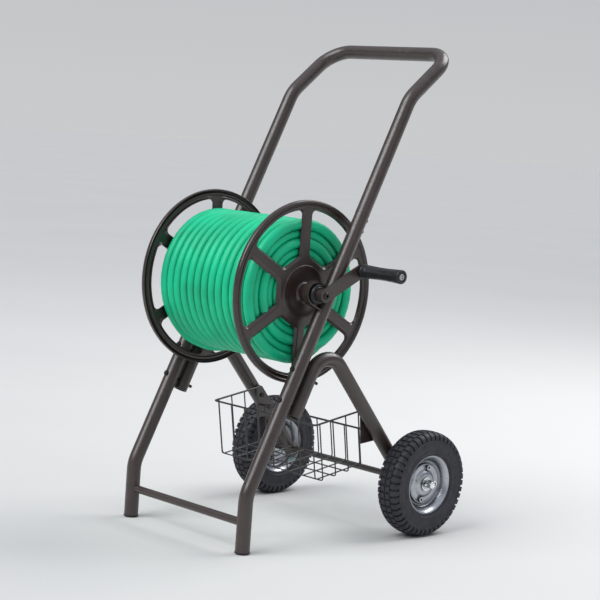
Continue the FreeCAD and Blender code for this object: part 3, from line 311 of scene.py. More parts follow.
def turned(mesh, base, outward, profile, sides):
    """Add a solid turned about X, from a profile of radius and outward place."""
    rings = [[mesh.verts.new(base + Vector((outward * x, reach * math.cos(FULL_TURN * side / sides),
                                            reach * math.sin(FULL_TURN * side / sides))))
              for side in range(sides)] for reach, x in profile]
    faces = [mesh.faces.new(rings[0]), mesh.faces.new(rings[-1])]
    for low, high in zip(rings, rings[1:]):
        for side in range(sides):
            after = (side + 1) % sides
            faces.append(mesh.faces.new((low[side], low[after], high[after], high[side])))
    bmesh.ops.recalc_face_normals(mesh, faces=faces)


# ---------------------------------------------------------------- camera, floor and light

def add_camera():
    """A long lens in front of the crank's side, a little above the middle of the cart."""
    place = CART + Vector((2.5223, -2.5947, 0.8065))
    yaw, pitch, roll = 0.80334, 0.10179, 0.07151
    forward = Vector((-math.sin(yaw) * math.cos(pitch), math.cos(yaw) * math.cos(pitch),
                      -math.sin(pitch)))
    level_right = Vector((math.cos(yaw), math.sin(yaw), 0))
    level_up = level_right.cross(forward)
    right = math.cos(roll) * level_right + math.sin(roll) * level_up
    up = math.cos(roll) * level_up - math.sin(roll) * level_right
    data = bpy.data.cameras.new("camera")
    data.sensor_width = 36
    data.lens = 105.81
    data.clip_end = 50
    camera = bpy.data.objects.new("camera", data)
    turn = Matrix((right, up, -forward)).transposed().to_4x4()
    camera.matrix_world = Matrix.Translation(place) @ turn
    bpy.context.scene.collection.objects.link(camera)
    bpy.context.scene.camera = camera


def add_floor():
    """A wide, pale, matt floor."""
    pale = (0.60, 0.60, 0.59)
    material, shader = new_material("pale_floor", pale, 0.85, specular=0.3)
    nodes = Nodes(material)
    nodes.link(nodes.ramp(nodes.noise(1.2, 4), (0.3, shade(pale, 0.985)), (0.7, shade(pale, 1.015))),
               shader.inputs["Base Color"])
    nodes.link(nodes.spread(nodes.noise(9, 3), 0.8, 0.9), shader.inputs["Roughness"])
    corners = [(x * FLOOR_REACH, y * FLOOR_REACH, 0) for x, y in ((-1, -1), (1, -1), (1, 1), (-1, 1))]
    mesh = bpy.data.meshes.new("floor")
    mesh.from_pydata(corners, [], [(0, 1, 2, 3)])
    mesh.materials.append(material)
    floor = bpy.data.objects.new("floor", mesh)
    bpy.context.scene.collection.objects.link(floor)


def add_light(name, kind, place, energy, width):
    """A light aimed at the middle of the cart: a square soft box, or a sun with a wide disc."""
    data = bpy.data.lights.new(name, kind)
    data.energy = energy
    if kind == "SUN":
        data.angle = width
    else:
        data.shape = "SQUARE"
        data.size = width
    light = bpy.data.objects.new(name, data)
    position = CART + Vector(place)
    aim = (CART + Vector((0, -0.1, 0.45)) - position).to_track_quat("-Z", "Y")
    light.matrix_world = Matrix.Translation(position) @ aim.to_matrix().to_4x4()
    bpy.context.scene.collection.objects.link(light)


def add_world():
    """Soft light from all round: bright overhead and at the horizon, dim just above the horizon."""
    world = bpy.data.worlds.new("studio")
    world.use_nodes = True
    nodes = Nodes(world)
    height = nodes.split(nodes.coordinates["Generated"])["Z"]
    sky = nodes.ramp(height, (0.0, (0.98, 0.99, 1.0)), (0.08, (0.90, 0.92, 0.95)),
                     (0.15, (0.24, 0.26, 0.29)), (0.45, (0.50, 0.54, 0.60)), (0.9, (1.1, 1.15, 1.25)))
    background = nodes.tree.nodes["Background"]
    nodes.link(sky, background.inputs["Color"])
    background.inputs["Strength"].default_value = 0.60
    bpy.context.scene.world = world


def add_studio():
    """A wide soft sun from the front, a soft box above and behind, and a weak one to the side."""
    bpy.context.scene.view_settings.view_transform = "Standard"
    add_world()
    add_light("key", "SUN", (-0.35, -2.3, 2.7), 2.2, math.radians(42))
    add_light("top", "AREA", (0.5, 2.3, 3.0), 85, 2.2)
    add_light("fill", "AREA", (3.2, -0.8, 1.6), 4, 1.6)


# ---------------------------------------------------------------- materials

def new_material(name, colour, roughness, metallic=0.0, specular=0.5, coat=0.0):
    """A material with one principled shader; the even settings are on the shader's own sockets."""
    material = bpy.data.materials.new(name)
    material.use_nodes = True
    shader = material.node_tree.nodes["Principled BSDF"]
    shader.inputs["Base Color"].default_value = (*colour, 1)
    shader.inputs["Roughness"].default_value = roughness
    shader.inputs["Metallic"].default_value = metallic
    shader.inputs["Specular IOR Level"].default_value = specular
    shader.inputs["Coat Weight"].default_value = coat
    shader.inputs["Coat Roughness"].default_value = 0.2
    return material, shader


class Nodes:
    """Short names for the few kinds of node that the materials and the world are made of."""

    def __init__(self, owner):
        self.tree = owner.node_tree
        self.coordinates = self.tree.nodes.new("ShaderNodeTexCoord").outputs

    def link(self, output, socket):
        """Join two nodes."""
        self.tree.links.new(output, socket)

    def split(self, vector):
        """The X, Y and Z of a vector."""
        node = self.tree.nodes.new("ShaderNodeSeparateXYZ")
        self.link(vector, node.inputs["Vector"])
        return node.outputs

    def noise(self, scale, detail, roughness=0.5):
        """Noise between 0 and 1, finer with a larger scale."""
        node = self.tree.nodes.new("ShaderNodeTexNoise")
        node.inputs["Scale"].default_value = scale
        node.inputs["Detail"].default_value = detail
        node.inputs["Roughness"].default_value = roughness
        self.link(self.coordinates["Object"], node.inputs["Vector"])
        return node.outputs["Fac"]

    def math(self, operation, first, second=0.0):
        """The result of one calculation on numbers or the outputs of nodes."""
        node = self.tree.nodes.new("ShaderNodeMath")
        node.operation = operation
        for socket, value in zip(node.inputs, (first, second)):
            if isinstance(value, (int, float)):
                socket.default_value = value
            else:
                self.link(value, socket)
        return node.outputs["Value"]

    def spread(self, value, low, high, start=0.3, end=0.7):
        """A value between start and end turned into one between low and high."""
        node = self.tree.nodes.new("ShaderNodeMapRange")
        node.inputs["From Min"].default_value = start
        node.inputs["From Max"].default_value = end
        node.inputs["To Min"].default_value = low
        node.inputs["To Max"].default_value = high
        self.link(value, node.inputs["Value"])
        return node.outputs["Result"]

    def ramp(self, value, *stops):
        """Colours at places between 0 and 1."""
        node = self.tree.nodes.new("ShaderNodeValToRGB")
        elements = node.color_ramp.elements
        while len(elements) < len(stops):
            elements.new(0.5)
        for element, (place, colour) in zip(elements, stops):
            element.position = place
            element.color = (*colour, 1)
        self.link(value, node.inputs["Fac"])
        return node.outputs["Color"]

    def crevice_shade_mask(self, distance):
        """1 on open faces and less in corners and grooves: a mask that paints shade into colours there."""
        node = self.tree.nodes.new("ShaderNodeAmbientOcclusion")
        node.samples = 6
        node.inputs["Distance"].default_value = distance
        return node.outputs["AO"]

    def bump(self, height, distance, strength, shader, under=None):
        """Fine relief on a shader, laid over an earlier bump if there is one."""
        node = self.tree.nodes.new("ShaderNodeBump")
        node.inputs["Distance"].default_value = distance
        node.inputs["Strength"].default_value = strength
        self.link(height, node.inputs["Height"])
        if under:
            self.link(under, node.inputs["Normal"])
        self.link(node.outputs["Normal"], shader.inputs["Normal"])
        return node.outputs["Normal"]


def shade(colour, factor):
    """A colour made lighter or darker."""
    return tuple(min(channel * factor, 1) for channel in colour)


def powder_coat(name, colour, roughness):
    """Satin baked paint: an orange-peel skin, fine specks and slow changes of gloss."""
    material, shader = new_material(name, colour, roughness, specular=0.7, coat=0.2)
    nodes = Nodes(material)
    cloud = nodes.noise(38, 3)
    nodes.link(nodes.ramp(cloud, (0.3, shade(colour, 0.86)), (0.7, shade(colour, 1.16))),
               shader.inputs["Base Color"])
    nodes.link(nodes.spread(nodes.noise(90, 2), roughness - 0.05, roughness + 0.06),
               shader.inputs["Roughness"])
    peel = nodes.bump(nodes.noise(520, 2), 0.0006, 0.13, shader)
    nodes.bump(nodes.noise(1900, 1), 0.0002, 0.15, shader, peel)
    return material


def hose_vinyl():
    """Green satin vinyl with the fine diagonal hatch of the yarn inside showing through, and painted shade
    in the valleys between its turns.
    """
    material, shader = new_material("hose_vinyl", (0.002, 0.44, 0.215), 0.42, specular=0.4)
    nodes = Nodes(material)
    layout = nodes.tree.nodes.new("ShaderNodeUVMap")
    layout.uv_map = "hose"
    parts = nodes.split(layout.outputs["UV"])
    along, around = parts["X"], parts["Y"]
    yarn_gap = 0.0042
    lines = []
    for lean in (14, -14):
        phase = nodes.math("ADD", nodes.math("MULTIPLY", along, FULL_TURN / yarn_gap),
                           nodes.math("MULTIPLY", around, FULL_TURN * lean))
        lines.append(nodes.spread(nodes.math("SINE", phase), 0, 1, -1, 1))
    hatch = nodes.math("MAXIMUM", *lines)
    cloud = nodes.noise(16, 3)
    mixed = nodes.math("ADD", nodes.math("MULTIPLY", cloud, 0.75), nodes.math("MULTIPLY", hatch, 0.2))
    # Painted shade: the crevice mask darkens the green where turns lie against each other, down to the
    # darkest stop of the ramp.
    tone_and_painted_valley_shade = nodes.math("ADD", mixed, nodes.spread(nodes.crevice_shade_mask(0.012), -0.40, 0, 0.25, 0.80))
    nodes.link(nodes.ramp(tone_and_painted_valley_shade, (0.05, (0.0004, 0.16, 0.075)), (0.3, (0.0006, 0.43, 0.208)),
                          (0.75, (0.001, 0.63, 0.318))), shader.inputs["Base Color"])
    nodes.link(nodes.spread(nodes.noise(60, 3), 0.38, 0.48), shader.inputs["Roughness"])
    woven = nodes.bump(hatch, 0.0003, 0.35, shader)
    nodes.bump(nodes.noise(700, 2), 0.0003, 0.12, shader, woven)
    return material


def rubber(name, colour, roughness):
    """Moulded rubber: dull, a little dusty, with a fine grain."""
    material, shader = new_material(name, colour, roughness, specular=0.4)
    nodes = Nodes(material)
    nodes.link(nodes.ramp(nodes.noise(55, 5, 0.6), (0.3, shade(colour, 0.75)),
                          (0.75, shade(colour, 1.6))), shader.inputs["Base Color"])
    nodes.link(nodes.spread(nodes.noise(130, 4), roughness - 0.08, roughness + 0.1),
               shader.inputs["Roughness"])
    grain = nodes.bump(nodes.noise(900, 3), 0.0004, 0.3, shader)
    nodes.bump(nodes.noise(140, 2), 0.0008, 0.12, shader, grain)
    return material


def plastic(name, colour, roughness):
    """Moulded plastic with a fine leathered grain."""
    material, shader = new_material(name, colour, roughness, specular=0.4)
    nodes = Nodes(material)
    nodes.link(nodes.ramp(nodes.noise(45, 3), (0.3, shade(colour, 0.85)), (0.7, shade(colour, 1.25))),
               shader.inputs["Base Color"])
    nodes.link(nodes.spread(nodes.noise(120, 3), roughness - 0.06, roughness + 0.08),
               shader.inputs["Roughness"])
    nodes.bump(nodes.noise(1300, 3), 0.0003, 0.3, shader)
    return material


def bare_metal(name, colour, roughness, spangle=0.0):
    """Metal with fine drawing marks; galvanised sheet also has the soft patches of its spangle. Painted
    shade darkens the colour in corners and grooves.
    """
    material, shader = new_material(name, colour, roughness, metallic=1.0)
    nodes = Nodes(material)
    cells = nodes.tree.nodes.new("ShaderNodeTexVoronoi")
    cells.inputs["Scale"].default_value = 160
    nodes.link(nodes.coordinates["Object"], cells.inputs["Vector"])
    patches = nodes.math("MULTIPLY", cells.outputs["Distance"], spangle)
    cloud = nodes.math("ADD", nodes.noise(60, 4, 0.6), patches)
    # Painted shade: the crevice mask multiplies the random tone, so corners and grooves go nearly black.
    painted_crevice_shade = nodes.spread(nodes.crevice_shade_mask(0.02), 0, 1, 0.25, 1)
    tone_and_painted_shade = nodes.math("MULTIPLY", nodes.spread(cloud, 0.8, 1), painted_crevice_shade)
    nodes.link(nodes.ramp(tone_and_painted_shade, (0.0, shade(colour, 0.12)), (0.5, shade(colour, 0.5)),
                          (0.8, shade(colour, 1)), (1.0, shade(colour, 1.15))), shader.inputs["Base Color"])
    nodes.link(nodes.spread(nodes.noise(240, 3), roughness - 0.06, roughness + 0.08),
               shader.inputs["Roughness"])
    nodes.bump(nodes.noise(420, 3), 0.0002, 0.08, shader)
    return material


def make_materials():
    """Every finish, by the name of its slot in the record, and a brighter zinc for small parts."""
    return {
        "frame_paint": powder_coat("bronze_coat", (0.036, 0.0220, 0.0198), 0.36),
        "reel_paint": powder_coat("brown_coat", (0.026, 0.0130, 0.0118), 0.33),
        "black_wire": powder_coat("wire_coat", (0.016, 0.015, 0.015), 0.42),
        "black_fasteners": bare_metal("black_oxide", (0.05, 0.046, 0.044), 0.42),
        "zinc": bare_metal("zinc_plate", (0.42, 0.435, 0.47), 0.31, 0.2),
        "bright_zinc": bare_metal("bright_zinc", (0.80, 0.84, 0.85), 0.22),
        "pipe_steel": bare_metal("steel_pipe", (0.34, 0.32, 0.30), 0.42),
        "brass": bare_metal("turned_brass", (0.66, 0.45, 0.18), 0.28),
        "seal_rubber": rubber("seal_rubber", (0.03, 0.03, 0.03), 0.6),
        "green_hose": hose_vinyl(),
        "tyre": rubber("tyre_rubber", (0.024, 0.0235, 0.031), 0.55),
        "black_plastic": plastic("black_plastic", (0.015, 0.015, 0.017), 0.38),
    }


def dress_nodes():
    """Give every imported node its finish, and soften the cut edges of sheet and bar."""
    polished = ("wheel_washers", "wheel_pins")
    sheet = ("bearing_bracket", "basket_plate", "crank_arm", "axle_bush", "foot_cap")
    for part in frame["record"]["subparts"]:
        node = frame["nodes"][part["node"]]
        finish = "bright_zinc" if part["node"] in polished else part["material_slot"]
        for place in node.material_slots:
            place.material = MATERIALS[finish]
        if part["node"].endswith(sheet):
            soften(node, 0.0005)


# ---------------------------------------------------------------- hose

def turn_place(number):
    """X and radius of one turn: wide layers run to the left, narrow ones lie between and run back."""
    layer = 0
    while number >= WIDE_LAYER - layer % 2:
        number -= WIDE_LAYER - layer % 2
        layer += 1
    radius = FIRST_LAYER + layer * LAYER_STEP
    if layer % 2 == 0:
        return (WIDE_LAYER - 1) / 2 * HOSE_PITCH - number * HOSE_PITCH, radius
    return (2 - WIDE_LAYER) / 2 * HOSE_PITCH + NARROW_LAYER_SHIFT + number * HOSE_PITCH, radius


def hose_control_points():
    """From the coupling inside the drum, round 63 turns, to the coupling behind the winding."""
    turns = sum(WIDE_LAYER - layer % 2 for layer in range(HOSE_LAYERS))
    points = [REEL + LEAD_PLACE - Vector((0, 0, LEAD_RADIUS))]
    for number in range(LEAD_STEPS):
        angle = -math.pi / 2 + (number + 0.5) / LEAD_STEPS * LEAD_SWEEP
        reach = LEAD_RADIUS / math.cos(LEAD_SWEEP / LEAD_STEPS / 2)
        points.append(REEL + LEAD_PLACE + reach * Vector((0, math.cos(angle), math.sin(angle))))
    step = FULL_TURN / POINTS_A_TURN
    outward = 1 / math.cos(step / 2)
    angle = LEAD_SWEEP - math.pi / 2 + step / 2
    last_angle = (turns - 1) * FULL_TURN + WINDING_END
    while angle < last_angle:
        turn = int(angle // FULL_TURN)
        x, radius = turn_place(turn)
        next_x, next_radius = turn_place(turn + 1) if turn + 1 < turns else (x, radius)
        share = smooth_step((angle % FULL_TURN - JOG_START) / JOG_LENGTH)
        crossing = 4 * share * (1 - share) * JOG_RISE * (radius > FIRST_LAYER)
        sway = math.sin(2.3 * turn + 0.7) * math.sin(angle + 1.9 * turn)
        slack = math.sin(1.3 * turn + 2.0) * math.sin(2 * angle + 0.8 * turn)
        reach = radius + share * (next_radius - radius) + crossing + SLACK * slack
        points.append(around_reel(x + share * (next_x - x) + SWAY * sway, reach * outward, angle))
        angle += step
    for degrees, x, radius in TAIL_CLIMB:
        points.append(around_reel(x, radius * outward, math.radians(degrees)))
    points.append(REEL + TAIL_PLACE - Vector((0, 0, TAIL_STRAIGHT)))
    points.append(REEL + TAIL_PLACE)
    return points


def lay_out_hose(hose, distances):
    """A layout of the hose's skin: metres along it, and the share of a turn around it."""
    layout = hose.data.uv_layers.new(name="hose")
    for face in hose.data.polygons:
        corners = [hose.data.loops[loop].vertex_index for loop in face.loop_indices]
        places = [corner % HOSE_SIDES for corner in corners]
        at_the_join = len(corners) == 4 and max(places) == HOSE_SIDES - 1 and min(places) == 0
        for loop, corner, place in zip(face.loop_indices, corners, places):
            if at_the_join and place == 0:
                place = HOSE_SIDES
            layout.data[loop].uv = (distances[corner // HOSE_SIDES], place / HOSE_SIDES)


def make_hose():
    """The whole hose as one cord, wound in five layers between its two couplings."""
    line = spline_points(hose_control_points(), 3)
    vertices, faces = sweep(line, HOSE_RADIUS, HOSE_SIDES)
    hose = add_piece("hose", vertices, faces, MATERIALS["green_hose"], "reel",
                     ("hose_winding", "hose_lead", "hose_tail"))
    distances = [0.0]
    for a, b in zip(line, line[1:]):
        distances.append(distances[-1] + (b - a).length)
    lay_out_hose(hose, distances)


# ---------------------------------------------------------------- flanges

def window_corner(base, sweep_from, sweep_to, steps):
    """Points of a rounded corner and the directions that lead from the window into the metal."""
    points = []
    for step in range(steps + 1):
        angle = math.radians(sweep_from + (sweep_to - sweep_from) * step / steps)
        normal = Vector((math.cos(angle), math.sin(angle)))
        points.append((base + WINDOW_CORNER * normal, normal))
    return points


def window_loop():
    """The four sides of a window, each from the middle of one rounded corner to the middle of the next.

    Coordinates are sideways and outward from the reel's axle; each point comes with its direction
    into the metal. In degrees from sideways, the metal lies at -90 past the hub's edge, at -30 past
    the right spoke's edge and straight outward past the rim's edge.
    """
    half_spoke = SPOKE_WIDTH / 2 + WINDOW_CORNER
    spoke = math.pi / SPOKES
    up = WINDOW_INNER + WINDOW_CORNER
    inner = Vector(((up * math.sin(spoke) - half_spoke) / math.cos(spoke), up))
    reach = WINDOW_OUTER - WINDOW_CORNER
    turn = spoke - math.asin(half_spoke / reach)
    outer = reach * Vector((math.sin(turn), math.cos(turn)))
    edge = 90 - math.degrees(turn)
    corner_middle = (edge - 30) / 2

    low = window_corner(inner, -60, -30, 3)
    high = window_corner(outer, -30, corner_middle, 4)
    right = low + straight(low[-1], high[0], 9) + high
    rim_start = window_corner(outer, corner_middle, edge, 4)
    rim_edge = []
    for step in range(1, 12):
        angle = math.radians(edge + (180 - 2 * edge) * step / 12)
        normal = Vector((math.cos(angle), math.sin(angle)))
        rim_edge.append((WINDOW_OUTER * normal, normal))
    top = rim_start + rim_edge + mirrored(rim_start)
    corner = window_corner(inner, -90, -60, 3)
    bottom = mirrored(corner) + straight(mirrored(corner)[-1], corner[0], 5) + corner
    return bottom, right, top, mirrored(right)


def straight(first, last, steps):
    """Points between two others, with the direction into the metal of the first."""
    return [(first[0].lerp(last[0], step / steps), first[1]) for step in range(1, steps)]


def mirrored(points):
    """The same points on the other side of the window, in the opposite order."""
    return [(Vector((-point.x, point.y)), Vector((-normal.x, normal.y)))
            for point, normal in reversed(points)]


def edge_reach(normal):
    """Width of the pressed edge: wide along the spokes, narrow under the rim."""
    under_the_rim = 0.75
    return NARROW_EDGE + WIDER_EDGE * smooth_step((under_the_rim - normal.y) / under_the_rim)


def flange_sector():
    """Height and place of every point in a sixth of the flange, ring by ring from the window out."""
    rings = [[] for _ in range(len(WINDOW_EDGE) + 1)]
    corners = ((FLANGE_INNER_RING, -30), (FLANGE_INNER_RING, 30), (FLANGE_OUTER_RING, 30),
               (FLANGE_OUTER_RING, -30))
    for number, side in enumerate(window_loop()):
        lengths = [0.0]
        for (a, _), (b, _) in zip(side, side[1:]):
            lengths.append(lengths[-1] + (b - a).length)
        (radius, degrees), (next_radius, next_degrees) = corners[number], corners[(number + 1) % 4]
        for (point, normal), length in zip(side[:-1], lengths):
            share = length / lengths[-1]
            for ring, (part, height) in zip(rings, WINDOW_EDGE):
                spot = point + part * edge_reach(normal) * normal
                ring.append((spot.x, spot.y, height))
            angle = math.radians(degrees + share * (next_degrees - degrees))
            reach = radius + share * (next_radius - radius)
            rings[-1].append((reach * math.sin(angle), reach * math.cos(angle), 0))
    return rings


def join_rings(mesh, rings):
    """Faces between closed rings of vertices, each ring with the next one."""
    for inner, outer in zip(rings, rings[1:]):
        for number in range(len(inner)):
            after = (number + 1) % len(inner)
            mesh.faces.new((inner[number], inner[after], outer[after], outer[number]))


def make_flange(name, side):
    """Pressed steel wheel: six windows with rolled edges, a ringed hub and a beaded rim."""
    mesh = bmesh.new()
    outward = FLANGE_X * side
    sector = flange_sector()

    def corner(across, up, height, turn):
        """A vertex of a sector that is turned about the reel's axle."""
        y = up * math.cos(turn) - across * math.sin(turn)
        z = up * math.sin(turn) + across * math.cos(turn)
        return mesh.verts.new(REEL + Vector((outward + side * height, y, z)))

    rim_angles, hub_angles = set(), set()
    for number in range(SPOKES):
        turn = math.radians(120 - 360 / SPOKES * number)
        join_rings(mesh, [[corner(*point, turn) for point in ring] for ring in sector])
        for x, y, _ in sector[-1]:
            radius = math.hypot(x, y)
            angle = round((math.atan2(x, y) + turn) % FULL_TURN, 6)
            if abs(radius - FLANGE_OUTER_RING) < 1e-6:
                rim_angles.add(angle)
            if abs(radius - FLANGE_INNER_RING) < 1e-6:
                hub_angles.add(angle)
    for angles, profile in ((rim_angles, FLANGE_RIM), (hub_angles, FLANGE_HUB)):
        join_rings(mesh, [[mesh.verts.new(around_reel(outward + side * height, radius, angle))
                           for angle in sorted(angles)] for radius, height in profile])
    bmesh.ops.remove_doubles(mesh, verts=mesh.verts, dist=2e-5)
    turn_outward(mesh, side)
    flange = add_bmesh(f"{name}_flange_pressing", mesh, MATERIALS["reel_paint"], "reel",
                       (f"{name}_flange",))
    thicken(flange, FLANGE_SHEET)


# ---------------------------------------------------------------- wheels

def revolve(profile, centre, side, steps):
    """Vertices and faces of a sheet of radius and outward place, turned about a wheel's axle."""
    vertices = [centre + Vector((side * x, radius * math.cos(FULL_TURN * step / steps),
                                 radius * math.sin(FULL_TURN * step / steps)))
                for radius, x in profile for step in range(steps)]
    faces = []
    for start in range(0, (len(profile) - 1) * steps, steps):
        after = start + steps
        for step in range(steps):
            turn = (step + 1) % steps
            corners = (start + step, start + turn, after + turn, after + step)
            faces.append(corners if side > 0 else corners[::-1])
    return vertices, faces


def tread_depth(column, share):
    """How deep the tread is cut at a share of one lug's pitch; the columns take turns."""
    if column is None:
        return 0
    share = (share + column / 2) % 1
    edge = 0.01
    return LUG_DEPTH if edge < share < GROOVE_SHARE - edge else 0


def make_tyre(name, side):
    """Turf tyre: four columns of lugs, staggered, and plain stepped sidewalls."""
    centre = CART + Vector((side * WHEEL_X, 0, WHEEL_RADIUS))
    breaks = sorted((start + offset) % 1 for start in (0, 0.5)
                    for offset in (0, LUG_WALL, GROOVE_SHARE - LUG_WALL, GROOVE_SHARE))
    outline = [(-x, radius, column) for x, radius, column in TYRE_HALF] + list(reversed(TYRE_HALF))
    vertices = []
    steps = LUGS * len(breaks)
    for x, radius, column in outline:
        inward = (TYRE_SECTION_MIDDLE - Vector((x, radius))).normalized()
        for step in range(steps):
            lug, part = divmod(step, len(breaks))
            angle = FULL_TURN * (lug + breaks[part]) / LUGS
            depth = tread_depth(column, breaks[part])
            reach = radius + depth * inward.y
            vertices.append(centre + Vector((x + depth * inward.x, reach * math.cos(angle),
                                             reach * math.sin(angle))))
    faces = [(a, d, c, b) for a, b, c, d in skin_faces(len(outline), steps)]
    tyre = add_piece(f"{name}_tyre_rubber", vertices, faces, MATERIALS["tyre"], f"{name}_wheel",
                     (f"{name}_tyre",))
    tyre.data.set_sharp_from_angle(angle=math.radians(38))


def make_rim(name, side):
    """Two pressed halves back to back, with the bolts that join them."""
    centre = CART + Vector((side * WHEEL_X, 0, WHEEL_RADIUS))
    for half_name, facing in (("outer", 1), ("inner", -1)):
        vertices, faces = revolve(RIM_HALF, centre, side * facing, 96)
        rim = add_piece(f"{name}_{half_name}_rim_pressing", vertices, faces, MATERIALS["zinc"],
                        f"{name}_wheel", (f"{name}_{half_name}_rim",))
        thicken(rim, RIM_SHEET, 0.0002)
    mesh = bmesh.new()
    for degrees in RIM_BOLT_DEGREES:
        angle = math.radians(degrees)
        spot = centre + RIM_BOLT_CIRCLE * Vector((0, math.cos(angle), math.sin(angle)))
        for facing, height, thread in RIM_BOLT_ENDS:
            outward = side * facing
            base = spot + Vector((outward * RIM_PLATEAU, 0, 0))
            turned(mesh, base, outward, chamfered(BOLT_HEAD_RADIUS, height, 0.12), 6)
            turned(mesh, base, outward, chamfered(BOLT_WASHER_RADIUS, BOLT_WASHER_HEIGHT, 0), 32)
            turned(mesh, base, outward, chamfered(BOLT_THREAD_RADIUS, height + thread, 0.1), 20)
    bolts = add_bmesh(f"{name}_rim_screws", mesh, MATERIALS["zinc"], f"{name}_wheel",
                      (f"{name}_rim_bolts",))
    bolts.data.set_sharp_from_angle(angle=math.radians(30))
    soften(bolts, 0.0003)


def chamfered(radius, height, chamfer):
    """Profile of a nut or disc, with its outer edge cut back by a share of its radius."""
    return (radius, 0), (radius, height * 0.8), (radius * (1 - chamfer), height)


# ---------------------------------------------------------------- frame details

def on_slope(side, along):
    """A point on the middle line of a leaning side tube, up from the bend of its front leg."""
    foot = Vector((side * SIDE_X, *LEG_BEND))
    return CART + foot + along * Vector((0, math.sin(LEAN), math.cos(LEAN)))


def make_seams():
    """Thin dark bands of painted shade where each side tube meets its front leg and the handle, standing in
    for the shaded gaps of these joints.
    """
    square = Vector((0, math.cos(LEAN), -math.sin(LEAN)))
    across = Vector((1, 0, 0))
    steps = 48
    vertices, faces = [], []
    for _, side in SIDES:
        for seam in SEAMS:
            first = len(vertices)
            for along, height in SEAM_OUTLINE:
                for step in range(steps):
                    angle = FULL_TURN * step / steps
                    outward = math.cos(angle) * across + math.sin(angle) * square
                    vertices.append(on_slope(side, seam + along) + (TUBE_RADIUS + height) * outward)
            faces += skin_faces(len(SEAM_OUTLINE), steps, first)
    # The dark wire finish paints the shade of each joint's gap.
    seams = add_piece("tube_seam_shade", vertices, faces, MATERIALS["black_wire"], "frame")
    seams.data.set_sharp_from_angle(angle=math.radians(50))


def make_axle_end(name, side):
    """The bright bare end of the wheel axle, with its rounded rim."""
    profile = ((AXLE_RADIUS, AXLE_END - 0.0165), (AXLE_RADIUS, AXLE_END - 0.0012),
               (AXLE_RADIUS - 0.0004, AXLE_END - 0.0004), (AXLE_RADIUS - 0.0013, AXLE_END))
    mesh = bmesh.new()
    turned(mesh, CART + Vector((0, 0, WHEEL_RADIUS)), side, profile, 40)
    end = add_bmesh(f"{name}_axle_end", mesh, MATERIALS["bright_zinc"], "frame")
    end.data.set_sharp_from_angle(angle=math.radians(50))


# ---------------------------------------------------------------- basket

def in_basket(x, back, up):
    """A point of the tilted basket, from the middle of its front rim."""
    return CART + BASKET_PLACE + Vector((x, back * math.cos(BASKET_TILT) - up * math.sin(BASKET_TILT),
                                         back * math.sin(BASKET_TILT) + up * math.cos(BASKET_TILT)))


def rounded(corners, radius):
    """Points of a bent wire: straight between its corners and rounded at each inner one."""
    points = [corners[0]]
    for before, corner, after in zip(corners, corners[1:], corners[2:]):
        start = corner + radius * (before - corner).normalized()
        end = corner + radius * (after - corner).normalized()
        steps = 7
        for step in range(steps + 1):
            share = step / steps
            points.append(start.lerp(corner, share).lerp(corner.lerp(end, share), share))
    points.append(corners[-1])
    return points


def basket_wires():
    """Corners and radius of every wire: hoops front to back, cradles side to side, and two rim wires."""
    half, depth, low = BASKET_HALF, BASKET_DEPTH, -BASKET_HEIGHT
    wires = []
    for number in range(BASKET_HOOPS):
        x = (number - (BASKET_HOOPS - 1) / 2) * BASKET_HOOP_GAP
        wires.append(([(x, 0, 0), (x, 0, low), (x, depth, low), (x, depth, -BASKET_REAR_DROP)], THIN_WIRE))
    for number in range(BASKET_CRADLES):
        back = BASKET_FIRST_CRADLE + number * BASKET_CRADLE_GAP
        floor = low - 1.9 * THIN_WIRE
        wires.append(([(-half, back, 0), (-half, back, floor), (half, back, floor), (half, back, 0)],
                      THIN_WIRE))
    wires.append(([(-half, depth, 0), (-half, -WELD_OFFSET, 0), (half, -WELD_OFFSET, 0),
                   (half, depth, 0)], RIM_WIRE))
    rear = (depth + WELD_OFFSET, -BASKET_REAR_DROP)
    wires.append(([(-half - RIM_WIRE, *rear), (half + RIM_WIRE, *rear)], RIM_WIRE))
    return wires


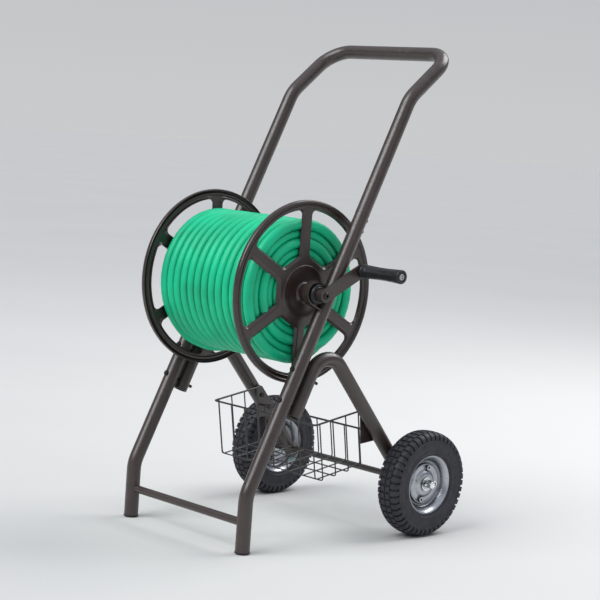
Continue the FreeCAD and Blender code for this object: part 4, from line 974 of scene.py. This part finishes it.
def make_basket():
    """Welded wire basket, open at the top."""
    vertices, faces = [], []
    for corners, radius in basket_wires():
        bends = [in_basket(*corner) for corner in corners]
        more_vertices, more_faces = sweep(rounded(bends, BASKET_CORNER), radius, 10)
        faces += [[index + len(vertices) for index in face] for face in more_faces]
        vertices += more_vertices
    grids = [f"basket_{panel}_grid" for panel in ("front", "rear", "left", "right", "bottom")]
    basket = add_piece("basket_wires", vertices, faces, MATERIALS["black_wire"], "frame",
                       grids)
    basket.data.set_sharp_from_angle(angle=math.radians(50))


# ---------------------------------------------------------------- grip

def grip_outline(length):
    """Place and radius along the grip: a bead at each end and a waist between them."""
    slices = 60
    outline = list(GRIP_INNER_END)
    for step in range(1, slices):
        share = step / slices
        waist = math.sin(math.pi * share) ** 1.4
        outline.append((GRIP_INNER_END[-1][0] + share * (length - GRIP_BEADS),
                        GRIP_RADIUS - GRIP_WAIST * waist))
    return outline + [(length + along, radius) for along, radius in GRIP_OUTER_END]


def grip_panel(share, angle):
    """1 in a shallow oval panel and 0 beside it, at a share of the grip's length and an angle."""
    across = math.sin(GRIP_PANELS / 2 * angle) ** 2
    past_the_end = (abs(share - 0.5) - 0.34) / 0.03
    return (1 - smooth_step(past_the_end)) * smooth_step((across - 0.25) / 0.35)


def make_grip():
    """Waisted plastic grip: two end beads, and shallow oval panels round its middle."""
    low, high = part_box("grip")
    centre = middle("grip")
    length = high[0] - low[0]
    steps = 72
    outline = grip_outline(length)
    vertices = []
    for along, radius in outline:
        for step in range(steps):
            angle = FULL_TURN * step / steps
            reach = radius - GRIP_PANEL_DEPTH * grip_panel(along / length, angle)
            vertices.append(Vector((low[0] + along, centre.y, centre.z))
                            + reach * Vector((0, math.cos(angle), math.sin(angle))))
    grip = add_piece("crank_grip", vertices, skin_faces(len(outline), steps), MATERIALS["black_plastic"],
                     "grip", ("grip",))
    grip.data.set_sharp_from_angle(angle=math.radians(50))


# ---------------------------------------------------------------- the whole scene

add_camera()
MATERIALS = make_materials()
make_hose()
for side_name, outward_side in SIDES:
    make_flange(side_name, outward_side)
    make_tyre(side_name, outward_side)
    make_rim(side_name, outward_side)
    make_axle_end(side_name, outward_side)
make_seams()
make_basket()
make_grip()
dress_nodes()
add_floor()
add_studio()
